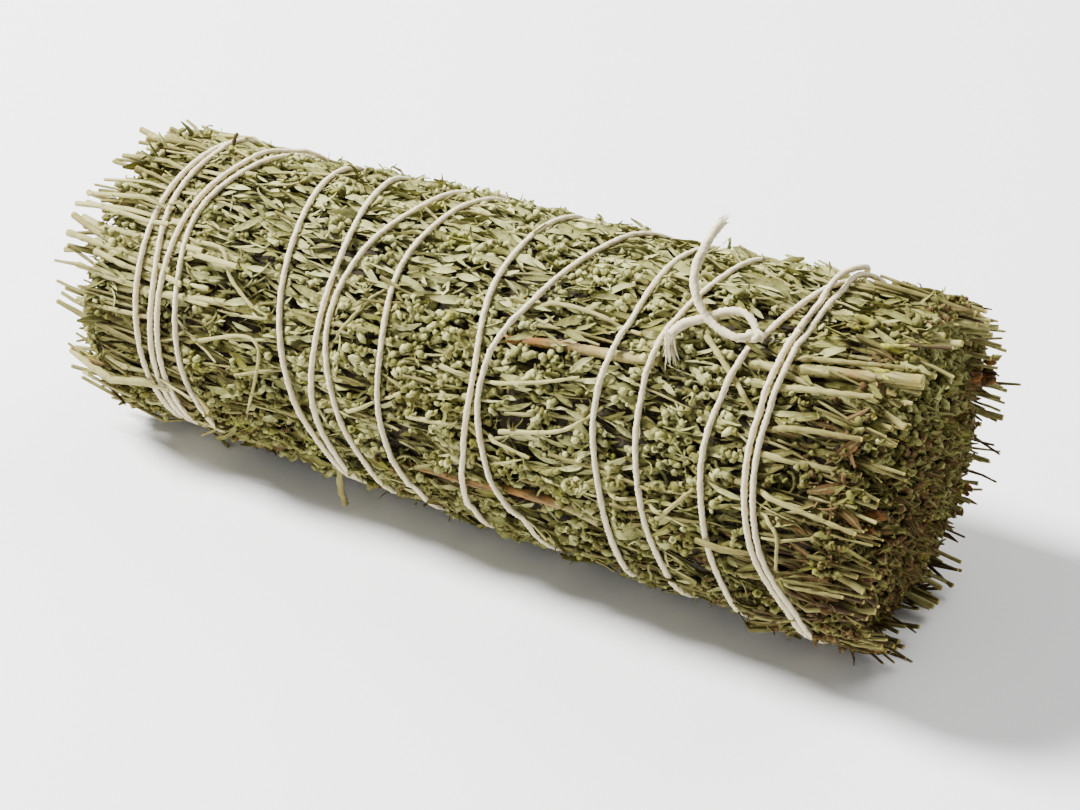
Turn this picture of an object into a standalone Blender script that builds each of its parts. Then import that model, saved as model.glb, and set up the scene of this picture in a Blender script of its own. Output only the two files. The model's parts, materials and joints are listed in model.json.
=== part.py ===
"""A bound roll of dried sage: leafy stems laid side by side and wound with one cotton string.

Metres, +Z up. The roll lies along X on the plane z = 0, its thicker cut end at +X.
An angle round the roll is 0 at the front (-Y), 90 degrees at the top and 270 at the bottom.
"""

import math
import random

import bmesh
import bpy
from mathutils import Matrix, Vector
from mathutils.kdtree import KDTree

MM = 0.001

# The roll
ROLL_LENGTH = 102 * MM
LEFT_RADIUS = 17.4 * MM
RIGHT_RADIUS = 20.0 * MM
FLAT_DEPTH = 0.5 * MM  # how far its own weight presses the underside flat
NODE_GAP = 0.34 * MM  # clear space between two separate pieces
SEED = 7

# Rings of leafy stems: name, how many, inner and outer radius as shares of the roll's, first angle
# in degrees, and the shares of a stem's width at which its outer side has a corner
OUTER_RING = ("leafy_stem", 16, 0.625, 0.952, 11.25, (1, 0))
MIDDLE_RING = ("inner_stem", 6, 0.265, 0.600, 15.0, (1, 0.5, 0))
HEART_SHARE = 0.240
PRESSED_ANGLE = 13  # degrees from straight down within which a stem is pressed to the flat
TUCKED_ANGLE = 32  # and within which the string lies let into the stem, clear of the ground
RING_TWIST = math.radians(10)  # the stems turn this much from end to end
RING_WOBBLE = 0.5 * MM  # and wander sideways by this much
CORE_STATIONS = 6
CORE_END_INSET = 3.2 * MM  # the cut stems stand out this far past the packed core
CORE_ROUGHNESS = 0.12 * MM

# Leaves and buds, larger than life so that a few hundred cover the roll
LEAF_LENGTHS = (10.5 * MM, 8.8 * MM, 7.4 * MM, 6.0 * MM, 4.6 * MM)  # the longest that finds room is used
LEAF_WIDTH_SHARE = 0.48  # of its stem's width
LEAF_ROWS = (0.31, 0.69)  # two rows of leaves along each stem, at these shares of its width
LEAF_SWING = 8.0  # degrees either way from the roll's length
LEAF_THICKNESS = 2.2 * MM
LEAF_PITCH = 9.0  # degrees, its tip stands clear of the roll
LEAF_BELLY = 0.1  # share of its length by which the widest part lies nearer the root
LEAF_SINK = 0.2 * MM  # its middle lies this far inside the roll's radius
BUD_DIAMETER = 2.5 * MM
BUD_LENGTH = 3.2 * MM
SEARCH_STEP = 0.9 * MM  # how far along the next spot lies where nothing finds room

# Cut stems that show at the two ends of every leafy stem
STUB_DIAMETER = 2.3 * MM
STUB_LENGTH = 11 * MM
LEFT_STUB_REACH = (2.0 * MM, 5.5 * MM)  # how far past the roll's left end they stand
RIGHT_STUB_REACH = (-0.6 * MM, 2.2 * MM)
STUB_SPOTS = ((0.70, 0.0), (0.30, 0.12), (0.5, 0.9))  # share of a stem's width, share of its depth
HEART_STUBS = 5

# The cotton string
STRING_DIAMETER = 0.85 * MM
STRING_HEIGHT = 0.1 * MM  # its centreline above the roll's own radius
STRING_FLOOR_GAP = 0.2 * MM
STEPS_PER_TURN = 16
FINER_BY = 8  # its heights are worked out at this many more places
STRANDS_APART = 1.14 * STRING_DIAMETER
CROSSING_REACH = 7.4 * MM  # a strand starts to climb this far before it crosses another
KNOT_ANGLE = 65.0
KNOT_X = 33.4 * MM
KNOT_RADIUS = 0.85 * MM
KNOT_HEIGHT = 0.85 * MM

# Where each strand crosses the front, in mm along the roll, in the order it was wound
FRONT_ANGLES = (-30, 0, 30, 60, 90)
STRANDS = (
    (44.2, 39.9, 37.9, 38.0, 38.1),
    (43.2, 38.9, 36.9, 37.0, 37.1),
    (22.2, 20.9, 18.6, 19.0, 19.1),
    (3.2, 3.4, 3.4, 1.8, 2.0),
    (-4.4, -7.6, -8.8, -10.1, -9.1),
    (-16.2, -19.8, -22.8, -24.8, -26.6),
    (-34.6, -36.2, -37.5, -38.6, -36.8),
    (-41.0, -42.1, -43.3, -44.0, -43.9),
    (-39.6, -40.3, -40.9, -42.6, -42.9),
    (-38.4, -39.2, -39.8, -39.8, -38.4),
    (-15.0, -17.0, -17.4, -18.0, -19.5),
    (-10.5, -13.6, -16.2, -15.7, -13.0),
    (10.8, 6.3, 4.5, 7.2, 10.4),
    (28.2, 26.0, 23.8, 23.5, 25.4),
)
TOP_ANGLE = 126  # a strand keeps its way this far over the top
BACK_ANGLE = -135  # behind the roll each strand has reached the place where it next comes to the front
AFTER_KNOT = ((KNOT_ANGLE + 1, 33.6), (90, 35.8))
BEFORE_KNOT = ((BACK_ANGLE, 35.7), (-30, 35.6), (0, 33.5), (30, 31.9), (KNOT_ANGLE - 1, 33.2))

# The two loose tails: mm along the roll, angle, height above the roll's radius in mm
LONG_TAIL = (
    (33.6, 64, 0.8), (32.6, 68, 1.4), (31.2, 70, 1.9), (29.6, 69, 2.5), (28.2, 67, 3.0),
    (26.9, 67.5, 3.6), (25.9, 70.5, 4.2), (25.2, 75, 5.2), (25.4, 80, 6.5), (25.8, 82.5, 7.6), (26.4, 84.5, 8.6),
)
SHORT_TAIL = (
    (33.2, 66.5, 1.0), (32.2, 62.5, 1.2), (30.6, 62.5, 1.4), (29.0, 63.5, 1.5), (27.4, 64, 1.5),
    (25.8, 63.5, 1.5), (24.7, 61, 1.3), (24.6, 57.5, 1.1), (25.0, 54.5, 0.8),
)

# Bare twigs in the surface: name, radius, (mm along the roll, angle) from end to end
TWIG_HEIGHT = -0.75 * MM
TWIGS = (
    ("pale_cut_stem", 1.05 * MM, ((33.6, 54), (39.6, 57), (46.0, 60.5), (52.2, 64))),
    ("brown_twig_upper", 0.80 * MM, ((5.8, 44), (12.4, 47), (17.2, 48), (24.0, 50.5))),
    ("brown_twig_lower", 0.75 * MM, ((-5.0, -17), (5.4, -13), (13.4, -10), (20.4, -12))),
)


def clear_scene():
    for obj in list(bpy.data.objects):
        bpy.data.objects.remove(obj)


def make_collection(name):
    collection = bpy.data.collections.new(name)
    bpy.context.scene.collection.children.link(collection)
    return collection


def make_material(name, colour, roughness):
    material = bpy.data.materials.new(name)
    material.use_nodes = True
    shader = material.node_tree.nodes["Principled BSDF"]
    shader.inputs["Base Color"].default_value = (*colour, 1.0)
    shader.inputs["Roughness"].default_value = roughness
    shader.inputs["Metallic"].default_value = 0.0
    return material


def roll_radius(x):
    return LEFT_RADIUS + (RIGHT_RADIUS - LEFT_RADIUS) * (x / ROLL_LENGTH + 0.5)


def axis_height(x):
    return roll_radius(x) - FLAT_DEPTH


def on_roll(x, angle, radius):
    """The point at this distance from the roll's axis, with the angle in radians."""
    return Vector((x, -radius * math.cos(angle), axis_height(x) + radius * math.sin(angle)))


def surface_frame(x, angle, radius):
    """A frame on the roll: local X runs along it, Y round it and Z outwards."""
    outward = Vector((0, -math.cos(angle), math.sin(angle)))
    along = Vector((1, 0, 0))
    around = outward.cross(along)
    frame = Matrix((along, around, outward)).transposed().to_4x4()
    frame.translation = on_roll(x, angle, radius)
    return frame


def new_object(name, mesh_data, collection, matrix=None):
    """A closed mesh object from a bmesh or from a mesh."""
    if isinstance(mesh_data, bmesh.types.BMesh):
        mesh = bpy.data.meshes.new(name)
        mesh_data.to_mesh(mesh)
        mesh_data.free()
    else:
        mesh = mesh_data
    obj = bpy.data.objects.new(name, mesh)
    if matrix is not None:
        mesh.transform(matrix)
    collection.objects.link(obj)
    return obj


def evaluated_mesh(obj):
    bpy.context.view_layer.update()
    graph = bpy.context.evaluated_depsgraph_get()
    mesh = bpy.data.meshes.new_from_object(obj.evaluated_get(graph))
    mesh.transform(obj.matrix_world)
    return mesh


def loft(rings):
    """A closed bmesh through rings of equally many points, with flat ends."""
    bm = bmesh.new()
    rows = [[bm.verts.new(point) for point in ring] for ring in rings]
    count = len(rings[0])
    for row, following in zip(rows, rows[1:]):
        for i in range(count):
            j = (i + 1) % count
            bm.faces.new((row[i], row[j], following[j], following[i]))
    bm.faces.new(reversed(rows[0]))
    bm.faces.new(rows[-1])
    bmesh.ops.recalc_face_normals(bm, faces=bm.faces)
    return bm


def boundary_angle(ring, index, x):
    """Where the boundary between two neighbouring stems of a ring lies at x."""
    _, count, inner, outer, first, _ = ring
    middle = (inner + outer) / 2 * roll_radius(x)
    wobble = RING_WOBBLE / middle * math.sin(x / ROLL_LENGTH * 7.0 + index % count * 2.4)
    return math.radians(first + 360 / count * index) + RING_TWIST * x / ROLL_LENGTH + wobble


def sector_section(ring, index, x, inner, outer, margin):
    """The corners of one stem's cell at x, kept a margin clear of its neighbours."""
    low = boundary_angle(ring, index, x)
    high = boundary_angle(ring, index + 1, x)
    points = []
    inner /= math.cos((high - low) / 2)  # so that the straight inner side stays this far out
    for radius, order in ((inner, (0, 1)), (outer, ring[5])):
        start = low + margin / radius
        sweep = high - low - 2 * margin / radius
        points += [on_roll(x, start + sweep * share, radius) for share in order]
    return points


def core_stations(rng):
    """Places along the roll, the first and last a little uneven so that the ends aren't flat."""
    half = ROLL_LENGTH / 2 - CORE_END_INSET
    places = [half * (2 * i / (CORE_STATIONS - 1) - 1) for i in range(CORE_STATIONS)]
    places[0] -= rng.uniform(0, 0.8) * MM
    places[-1] += rng.uniform(0, 0.8) * MM
    return places


def sector_core(ring, index, rng, pressed):
    """The packed inside of one leafy stem. Where the roll lies on it, it is pressed out to the flat."""
    rings = []
    for x in core_stations(rng):
        radius = roll_radius(x)
        inner = radius * ring[2]
        outer = radius * ring[3] + rng.uniform(-CORE_ROUGHNESS, CORE_ROUGHNESS)
        if pressed:
            outer = radius + 0.2 * MM
        rings.append(sector_section(ring, index, x, inner, outer, NODE_GAP / 2))
    return loft(rings)


def heart_core(rng):
    rings = []
    for x in core_stations(rng):
        radius = roll_radius(x) * HEART_SHARE
        rings.append([on_roll(x, math.tau * i / 8, radius) for i in range(8)])
    return loft(rings)


def leaf(x, angle, radius, length, width, turn, pitch):
    """A dried leaf: a long four-sided grain, widest near its root, keeled along its back, its tip raised."""
    bm = bmesh.new()
    bmesh.ops.create_uvsphere(bm, u_segments=4, v_segments=2, radius=0.5)
    for vertex in bm.verts:
        share = vertex.co.z  # -0.5 at the root and 0.5 at the tip
        belly = LEAF_BELLY if abs(share) < 0.1 else 0
        vertex.co = Vector(((share - belly) * length, vertex.co.x * width, vertex.co.y * LEAF_THICKNESS))
    lift = Matrix.Rotation(math.radians(-pitch), 4, "Y")
    swing = Matrix.Rotation(math.radians(turn), 4, "Z")
    bm.transform(surface_frame(x, angle, radius) @ swing @ lift)
    return bm


def bud(x, angle, radius, size, turn):
    """A closed flower bud: an egg with few sides."""
    bm = bmesh.new()
    bmesh.ops.create_uvsphere(bm, u_segments=5, v_segments=3, radius=0.5)
    stretch = Matrix.Diagonal((BUD_DIAMETER * size, BUD_DIAMETER * size, BUD_LENGTH * size, 1))
    lie_down = Matrix.Rotation(math.radians(90), 4, "Y")
    swing = Matrix.Rotation(math.radians(turn), 4, "Z")
    bm.transform(surface_frame(x, angle, radius) @ swing @ lie_down @ stretch)
    return bm


def stub(x_end, side, angle, radius, diameter, flare):
    """A cut stem at one end of the roll. Side is -1 at the left and 1 at the right."""
    bm = bmesh.new()
    bmesh.ops.create_cone(
        bm, cap_ends=True, segments=4, radius1=0.42 * diameter, radius2=0.5 * diameter, depth=STUB_LENGTH)
    point_outwards = Matrix.Rotation(math.radians(90 * side), 4, "Y")
    lean = Matrix.Rotation(math.radians(-flare * side), 4, "Y")
    middle = x_end - side * STUB_LENGTH / 2
    bm.transform(surface_frame(middle, angle, radius) @ lean @ point_outwards)
    return bm


def sector_stubs(ring, index, rng):
    """The cut stems of one leafy stem at both ends, spread over its section."""
    made = []
    for side, reach in ((-1, LEFT_STUB_REACH), (1, RIGHT_STUB_REACH)):
        for across, depth in STUB_SPOTS:
            x_end = side * (ROLL_LENGTH / 2 + rng.uniform(*reach))
            radius_here = roll_radius(x_end)
            diameter = STUB_DIAMETER * rng.uniform(0.72, 1.0)
            low = boundary_angle(ring, index, x_end - side * STUB_LENGTH / 3)
            high = low + math.radians(360 / ring[1])
            inner = ring[2] * radius_here + 0.75 * diameter
            outer = ring[3] * radius_here - 0.55 * diameter
            radius = outer + (inner - outer) * depth
            angle = low + (high - low) * (across + rng.uniform(-0.03, 0.03))
            flare = rng.uniform(0.5, 4.0) if side < 0 and ring is OUTER_RING and depth == 0 else 0.0
            made.append(stub(x_end, side, angle, radius, diameter, flare))
    return made


def has_room(piece, ring, index, kept_clear):
    """Whether a leaf or bud stays inside its own stem's width and clear of the string and the twigs."""
    samples = [vertex.co.copy() for vertex in piece.verts]
    for edge in piece.edges:
        start, end = (vertex.co for vertex in edge.verts)
        samples += [start.lerp(end, i / 6) for i in range(1, 6)]
    for point in samples:
        height = point.z - axis_height(point.x)
        radius = math.hypot(point.y, height)
        angle = math.atan2(height, -point.y)
        low = boundary_angle(ring, index, point.x) + NODE_GAP / 2 / radius
        high = boundary_angle(ring, index + 1, point.x) - NODE_GAP / 2 / radius
        if (angle - low) % math.tau > high - low:
            return False
        _, _, distance = kept_clear.find(point)
        if distance < STRING_DIAMETER / 2 + NODE_GAP or point.z < 0.1 * MM:
            return False
    return True


def sector_sprigs(ring, index, rng, kept_clear):
    """Two staggered rows of leaves over the outside of a leafy stem, with buds where a leaf is too long."""
    made = []
    half = ROLL_LENGTH / 2 - 3 * MM
    for row, share in enumerate(LEAF_ROWS):
        start = -half + row * LEAF_LENGTHS[0] / 2 + rng.uniform(0, 2) * MM
        while start < half - BUD_LENGTH:
            for length in (*LEAF_LENGTHS, BUD_LENGTH):
                length *= rng.uniform(0.94, 1.06)
                x = start + length / 2
                across = share + rng.uniform(-0.02, 0.02)
                angle = boundary_angle(ring, index, x) + math.radians(360 / ring[1]) * across
                radius = roll_radius(x) - LEAF_SINK
                turn = rng.uniform(-LEAF_SWING, LEAF_SWING) + (180 if rng.random() < 0.6 else 0)
                if length > 1.1 * BUD_LENGTH:
                    width = LEAF_WIDTH_SHARE * math.tau * roll_radius(x) / ring[1] * rng.uniform(0.85, 1.05)
                    piece = leaf(x, angle, radius, length, width, turn, LEAF_PITCH * rng.uniform(0.3, 1.2))
                else:
                    piece = bud(x, angle, radius, rng.uniform(0.85, 1.15), turn * 3)
                if x + length / 2 < half + 2 * MM and has_room(piece, ring, index, kept_clear):
                    made.append(piece)
                    start += 0.95 * length
                    break
                piece.free()
            else:
                start += SEARCH_STEP
    return made


def spaced(points, t):
    """A smooth curve through (place, value) points, read at place t."""
    upper = next((i for i, point in enumerate(points) if point[0] >= t), len(points) - 1)
    upper = max(upper, 1)
    (t0, v0), (t1, v1) = points[upper - 1], points[upper]

    def slope(i):
        before, after = points[max(i - 1, 0)], points[min(i + 1, len(points) - 1)]
        return (after[1] - before[1]) / (after[0] - before[0])

    h = t1 - t0
    s = min(max((t - t0) / h, 0), 1)
    return (
        (2 * s**3 - 3 * s**2 + 1) * v0 + (s**3 - 2 * s**2 + s) * h * slope(upper - 1)
        + (3 * s**2 - 2 * s**3) * v1 + (s**3 - s**2) * h * slope(upper)
    )


def winding_knots():
    """(unrolled angle in degrees, x) where the string is pinned, from the knot round to the knot."""
    knots = [(angle, x * MM) for angle, x in AFTER_KNOT]
    for turn, strand in enumerate(STRANDS, start=1):
        knots.append((360 * turn + BACK_ANGLE, strand[0] * MM))
        knots += [(360 * turn + angle, x * MM) for angle, x in zip(FRONT_ANGLES, strand)]
        knots.append((360 * turn + TOP_ANGLE, (strand[4] + 0.8 * (strand[4] - strand[3])) * MM))
    last = 360 * (len(STRANDS) + 1)
    return knots + [(last + angle, x * MM) for angle, x in BEFORE_KNOT]


def arc_distance(one, other):
    """Distance over the roll's surface between two (x, angle) places."""
    turn = (one[1] - other[1] + math.pi) % math.tau - math.pi
    return math.hypot(one[0] - other[0], turn * roll_radius(one[0]))


def twig_places(route, count):
    """Evenly spread (x, angle) places along a twig."""
    places = []
    for i in range(count):
        t = i / (count - 1) * (len(route) - 1)
        x = spaced([(k, point[0]) for k, point in enumerate(route)], t)
        angle = spaced([(k, point[1]) for k, point in enumerate(route)], t)
        places.append((x * MM, math.radians(angle)))
    return places


def string_heights(places, turn, window):
    """Height above the roll of each place of the string: it climbs over twigs and earlier turns."""
    under = []
    for _, radius, route in TWIGS:
        clear = radius + STRING_DIAMETER / 2 + NODE_GAP + 0.1 * MM
        under += [(place, TWIG_HEIGHT, clear) for place in twig_places(route, 40)]
    heights = []
    for i, place in enumerate(places):
        done = i - turn // 2
        if done >= window:
            j = done - window
            settled = max(heights[max(0, j - window):j + window + 1])
            under.append((places[j], settled, STRANDS_APART))
        height = STRING_HEIGHT
        for other, base, clear in under:
            if abs(other[0] - place[0]) < clear:
                distance = arc_distance(place, other)
                if distance < clear:
                    height = max(height, base + math.sqrt(clear**2 - distance**2))
        heights.append(height)
    return [max(heights[max(0, i - window):i + window + 1]) for i in range(len(heights))]


def string_route():
    """The wound string's centreline as points, thinned to STEPS_PER_TURN a turn."""
    knots = winding_knots()
    fine = FINER_BY * STEPS_PER_TURN
    first, last = knots[0][0], knots[-1][0]
    count = round((last - first) / 360 * fine)
    degrees = [first + (last - first) * i / count for i in range(count + 1)]
    places = [(spaced(knots, t), math.radians(t)) for t in degrees]
    step = math.tau * (LEFT_RADIUS + RIGHT_RADIUS) / 2 / fine
    heights = string_heights(places, fine, round(CROSSING_REACH / step))
    sag = 1 - math.cos(math.pi / STEPS_PER_TURN)  # a straight step between two points dips by this share
    route = []
    for i in range(0, count + 1, FINER_BY):
        x, angle = places[i]
        point = on_roll(x, angle, roll_radius(x) * (1 + sag / 2) + heights[i])
        point.z = max(point.z, STRING_DIAMETER / 2 + STRING_FLOOR_GAP)
        route.append(point)
    return route


def tail_route(tail):
    return [on_roll(x * MM, math.radians(angle), roll_radius(x * MM) + height * MM) for x, angle, height in tail]


def tube(name, points, radius, collection, sides_level=1, radii=None):
    """A round bar along points, made a closed mesh."""
    curve = bpy.data.curves.new(name, "CURVE")
    curve.dimensions = "3D"
    curve.bevel_depth = radius
    curve.bevel_resolution = sides_level
    curve.use_fill_caps = True
    spline = curve.splines.new("POLY")
    spline.points.add(len(points) - 1)
    for i, point in enumerate(points):
        spline.points[i].co = (*point, 1)
        spline.points[i].radius = radii[i] if radii else 1.0
    guide = bpy.data.objects.new(name, curve)
    collection.objects.link(guide)
    mesh = evaluated_mesh(guide)
    bpy.data.objects.remove(guide)
    bm = bmesh.new()
    bm.from_mesh(mesh)
    bmesh.ops.remove_doubles(bm, verts=bm.verts, dist=0.002 * MM)
    bmesh.ops.recalc_face_normals(bm, faces=bm.faces)
    return new_object(name, bm, collection)


def ring_of_string(name, matrix, collection):
    """One turn of string drawn tight, for the knot."""
    loop = [Vector((math.cos(a), math.sin(a), 0)) * KNOT_RADIUS for a in (math.tau * i / 10 for i in range(11))]
    return tube(name, [matrix @ point for point in loop[:-1]] + [matrix @ (loop[0] * 0.98)],
                STRING_DIAMETER / 2, collection)


def join(obj, operation, collection):
    """Adds a Boolean with every object of a collection. EXACT is slow here and leaves edges that touch."""
    modifier = obj.modifiers.new(operation.lower(), "BOOLEAN")
    modifier.operation = operation
    modifier.operand_type = "COLLECTION"
    modifier.collection = collection
    modifier.solver = "MANIFOLD"


def largest_body(mesh):
    """The mesh without any loose scrap that a cut left behind."""
    bm = bmesh.new()
    bm.from_mesh(mesh)
    unseen = set(bm.verts)
    bodies = []
    while unseen:
        body, front = set(), [unseen.pop()]
        while front:
            vertex = front.pop()
            body.add(vertex)
            near = {edge.other_vert(vertex) for edge in vertex.link_edges} & unseen
            unseen -= near
            front += near
        bodies.append(body)
    bodies.sort(key=len)
    for body in bodies[:-1]:
        bmesh.ops.delete(bm, geom=list(body), context="VERTS")
    return bm


def remove_all(collection):
    for obj in list(collection.objects):
        bpy.data.objects.remove(obj)


def finish_node(name, core, pieces, cutters, parts, scratch, material):
    """Joins the pieces to the core, cuts the cutters out, and makes the node."""
    remove_all(scratch)
    obj = new_object(name, core, parts)
    for i, piece in enumerate(pieces):
        new_object(f"piece_{i}", piece, scratch)
    join(obj, "UNION", scratch)
    for cutter in cutters:
        join(obj, "DIFFERENCE", cutter)
    whole = evaluated_mesh(obj)
    remove_all(scratch)
    bpy.data.objects.remove(obj)
    obj = new_object(name, largest_body(whole), parts)
    obj.data.materials.append(material)
    return obj


def make_cutters(route):
    """Room for the twigs, the knot and the ground, and apart from it room for the string."""
    fixed, string_room = make_collection("fixed_cutters"), make_collection("string_cutters")
    around = STRING_DIAMETER / 2 + NODE_GAP
    for start in range(0, len(route) - 1, STEPS_PER_TURN):
        tube(f"string_room_{start}", route[start:start + STEPS_PER_TURN + 1], around, string_room)
    knot_room = bmesh.new()
    bmesh.ops.create_icosphere(knot_room, subdivisions=1, radius=KNOT_RADIUS + STRING_DIAMETER / 2 + 0.5 * MM)
    knot_room.transform(knot_seat())
    new_object("knot_room", knot_room, fixed)
    for name, radius, twig in TWIGS:
        for lift in (0, 0.9 * MM):
            tube(f"{name}_room", twig_route(twig, lift), radius + NODE_GAP, fixed)
    ground = bmesh.new()
    bmesh.ops.create_cube(ground, size=1)
    ground.transform(Matrix.Translation((0, 0, -10 * MM)) @ Matrix.Diagonal((0.2, 0.1, 20 * MM, 1)))
    new_object("ground", ground, fixed)
    for obj in (*fixed.objects, *string_room.objects):
        obj.hide_render = True
        obj.display_type = "WIRE"
    return fixed, string_room


def knot_seat():
    return surface_frame(KNOT_X, math.radians(KNOT_ANGLE), roll_radius(KNOT_X) + KNOT_HEIGHT)


def close_to(route, tails):
    """Finely spread points along the string, its tails and the twigs, to be looked up by distance."""
    lines = [route, *(tail_route(tail) for tail in tails)]
    points = []
    for line in lines:
        for start, end in zip(line, line[1:]):
            steps = max(2, math.ceil((end - start).length / (0.4 * MM)))
            points += [start.lerp(end, i / steps) for i in range(steps)]
    for _, radius, twig in TWIGS:
        for x, angle in twig_places(twig, 60):
            reach = radius - STRING_DIAMETER / 2
            points += [on_roll(x, angle + side * reach / roll_radius(x), roll_radius(x)) for side in (-1, 0, 1)]
    tree = KDTree(len(points))
    for i, point in enumerate(points):
        tree.insert(point, i)
    tree.balance()
    return tree


def twig_route(route, lift=0.0):
    places = twig_places(route, 6)
    return [on_roll(x, angle, roll_radius(x) + TWIG_HEIGHT + lift) for x, angle in places]


def make_twigs(parts, materials):
    for name, radius, route in TWIGS:
        taper = [0.72, 0.86, 0.94, 1.0, 1.0, 1.0]
        twig = tube(name, twig_route(route), radius, parts, radii=taper)
        twig.data.materials.append(materials["pale" if name.startswith("pale") else "brown"])


def make_string(route, parts, scratch, material):
    """The wound string with its knot and both tails, as one body."""
    string = tube("binding_string", route, STRING_DIAMETER / 2, parts)
    remove_all(scratch)
    seat = knot_seat()
    heart = bmesh.new()
    bmesh.ops.create_icosphere(heart, subdivisions=1, radius=1.12 * KNOT_RADIUS)
    heart.transform(seat)
    new_object("knot_heart", heart, scratch)
    for i, turn in enumerate((35, -35)):
        ring_of_string(f"knot_{i}", seat @ Matrix.Rotation(math.radians(turn), 4, "Z")
                       @ Matrix.Rotation(math.radians(90), 4, "X"), scratch)
    tube("long_tail", tail_route(LONG_TAIL), STRING_DIAMETER / 2, scratch)
    tube("short_tail", tail_route(SHORT_TAIL), STRING_DIAMETER / 2, scratch)
    join(string, "UNION", scratch)
    whole = evaluated_mesh(string)
    remove_all(scratch)
    bpy.data.objects.remove(string)
    string = new_object("binding_string", largest_body(whole), parts)
    string.data.materials.append(material)


def make_leafy_stems(route, cutters, parts, scratch, material):
    """The outer ring with its leaves and buds, the middle ring and the heart."""
    fixed, string_room = cutters
    kept_clear = close_to(route, (LONG_TAIL, SHORT_TAIL))
    for index in range(OUTER_RING[1]):
        rng = random.Random(SEED * 1000 + index)
        middle = math.degrees(boundary_angle(OUTER_RING, index, 0)) + 180 / OUTER_RING[1]
        off_bottom = abs((middle - 270 + 180) % 360 - 180)
        pressed = off_bottom < PRESSED_ANGLE
        core = sector_core(OUTER_RING, index, rng, pressed)
        pieces = sector_stubs(OUTER_RING, index, rng)
        if not pressed:
            pieces += sector_sprigs(OUTER_RING, index, rng, kept_clear)
        rooms = (fixed, string_room) if off_bottom < TUCKED_ANGLE else (fixed,)
        finish_node(f"{OUTER_RING[0]}_{index + 1:02d}", core, pieces, rooms, parts, scratch, material)
    for index in range(MIDDLE_RING[1]):
        rng = random.Random(SEED * 2000 + index)
        core = sector_core(MIDDLE_RING, index, rng, False)
        pieces = sector_stubs(MIDDLE_RING, index, rng)
        finish_node(f"{MIDDLE_RING[0]}_{index + 1:02d}", core, pieces, (), parts, scratch, material)
    rng = random.Random(SEED)
    stubs = []
    for side, reach in ((-1, LEFT_STUB_REACH), (1, RIGHT_STUB_REACH)):
        for k in range(HEART_STUBS):
            x_end = side * (ROLL_LENGTH / 2 + rng.uniform(*reach))
            radius = roll_radius(x_end) * HEART_SHARE - 0.75 * STUB_DIAMETER
            angle = math.tau * k / (HEART_STUBS - 1)
            stubs.append(stub(x_end, side, angle, radius if k else 0.0, STUB_DIAMETER, 0.0))
    finish_node("heart_stem", heart_core(rng), stubs, (), parts, scratch, material)


def centre_on_ground(parts):
    """Hangs the finished parts on an empty that puts the middle of their footprint box on the origin."""
    corners = [vertex.co for obj in parts.objects for vertex in obj.data.vertices]
    low = Vector(min(corner[i] for corner in corners) for i in range(3))
    high = Vector(max(corner[i] for corner in corners) for i in range(3))
    roll = bpy.data.objects.new("roll", None)
    roll.location = (-(low.x + high.x) / 2, -(low.y + high.y) / 2, -low.z)
    for obj in parts.objects:
        obj.parent = roll
    parts.objects.link(roll)


def main():
    clear_scene()
    parts = make_collection("sage_bunch")
    scratch = make_collection("scratch")
    materials = {
        "sage": make_material("dried_sage", (0.29, 0.27, 0.16), 0.9),
        "string": make_material("cotton_string", (0.78, 0.73, 0.62), 0.95),
        "pale": make_material("pale_stem", (0.50, 0.43, 0.27), 0.85),
        "brown": make_material("brown_bark", (0.36, 0.20, 0.09), 0.85),
    }
    route = string_route()
    cutters = make_cutters(route)
    make_string(route, parts, scratch, materials["string"])
    make_twigs(parts, materials)
    make_leafy_stems(route, cutters, parts, scratch, materials["sage"])
    centre_on_ground(parts)
    bpy.data.collections.remove(scratch)


main()
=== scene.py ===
"""A bound roll of dried sage, dressed round its fixed frame: leafy stems, twigs and a cotton string."""

import json
import math
import random

import bmesh
import bpy
from bpy.props import FloatProperty, FloatVectorProperty, IntProperty, PointerProperty
from bpy.types import Operator, Panel, PropertyGroup
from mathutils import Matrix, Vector, kdtree, noise

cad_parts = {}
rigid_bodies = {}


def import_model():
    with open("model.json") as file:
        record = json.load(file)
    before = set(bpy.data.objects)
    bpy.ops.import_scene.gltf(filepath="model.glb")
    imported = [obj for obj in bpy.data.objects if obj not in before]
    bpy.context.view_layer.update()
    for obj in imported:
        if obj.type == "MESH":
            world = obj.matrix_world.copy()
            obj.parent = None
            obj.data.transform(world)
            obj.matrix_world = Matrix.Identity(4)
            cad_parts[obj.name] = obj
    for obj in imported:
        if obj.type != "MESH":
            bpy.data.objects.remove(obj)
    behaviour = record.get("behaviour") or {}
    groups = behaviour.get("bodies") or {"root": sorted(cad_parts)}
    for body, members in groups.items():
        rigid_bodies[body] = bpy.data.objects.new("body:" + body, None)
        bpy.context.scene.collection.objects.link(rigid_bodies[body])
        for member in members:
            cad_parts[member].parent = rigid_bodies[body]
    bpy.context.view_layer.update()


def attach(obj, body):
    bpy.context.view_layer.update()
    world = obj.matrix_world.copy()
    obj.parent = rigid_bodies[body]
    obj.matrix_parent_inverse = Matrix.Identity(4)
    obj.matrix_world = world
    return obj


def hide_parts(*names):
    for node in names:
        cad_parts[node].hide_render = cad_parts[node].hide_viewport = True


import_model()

bl_info = {
    "name": "Bound Sage Roll",
    "version": (1, 0, 0),
    "blender": (4, 5, 0),
    "location": "View3D > Sidebar > Sage Roll",
    "description": "Builds a tied roll of dried sage stems, with its string, twigs and stage",
    "category": "Add Mesh",
}

MM = 0.001

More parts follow.
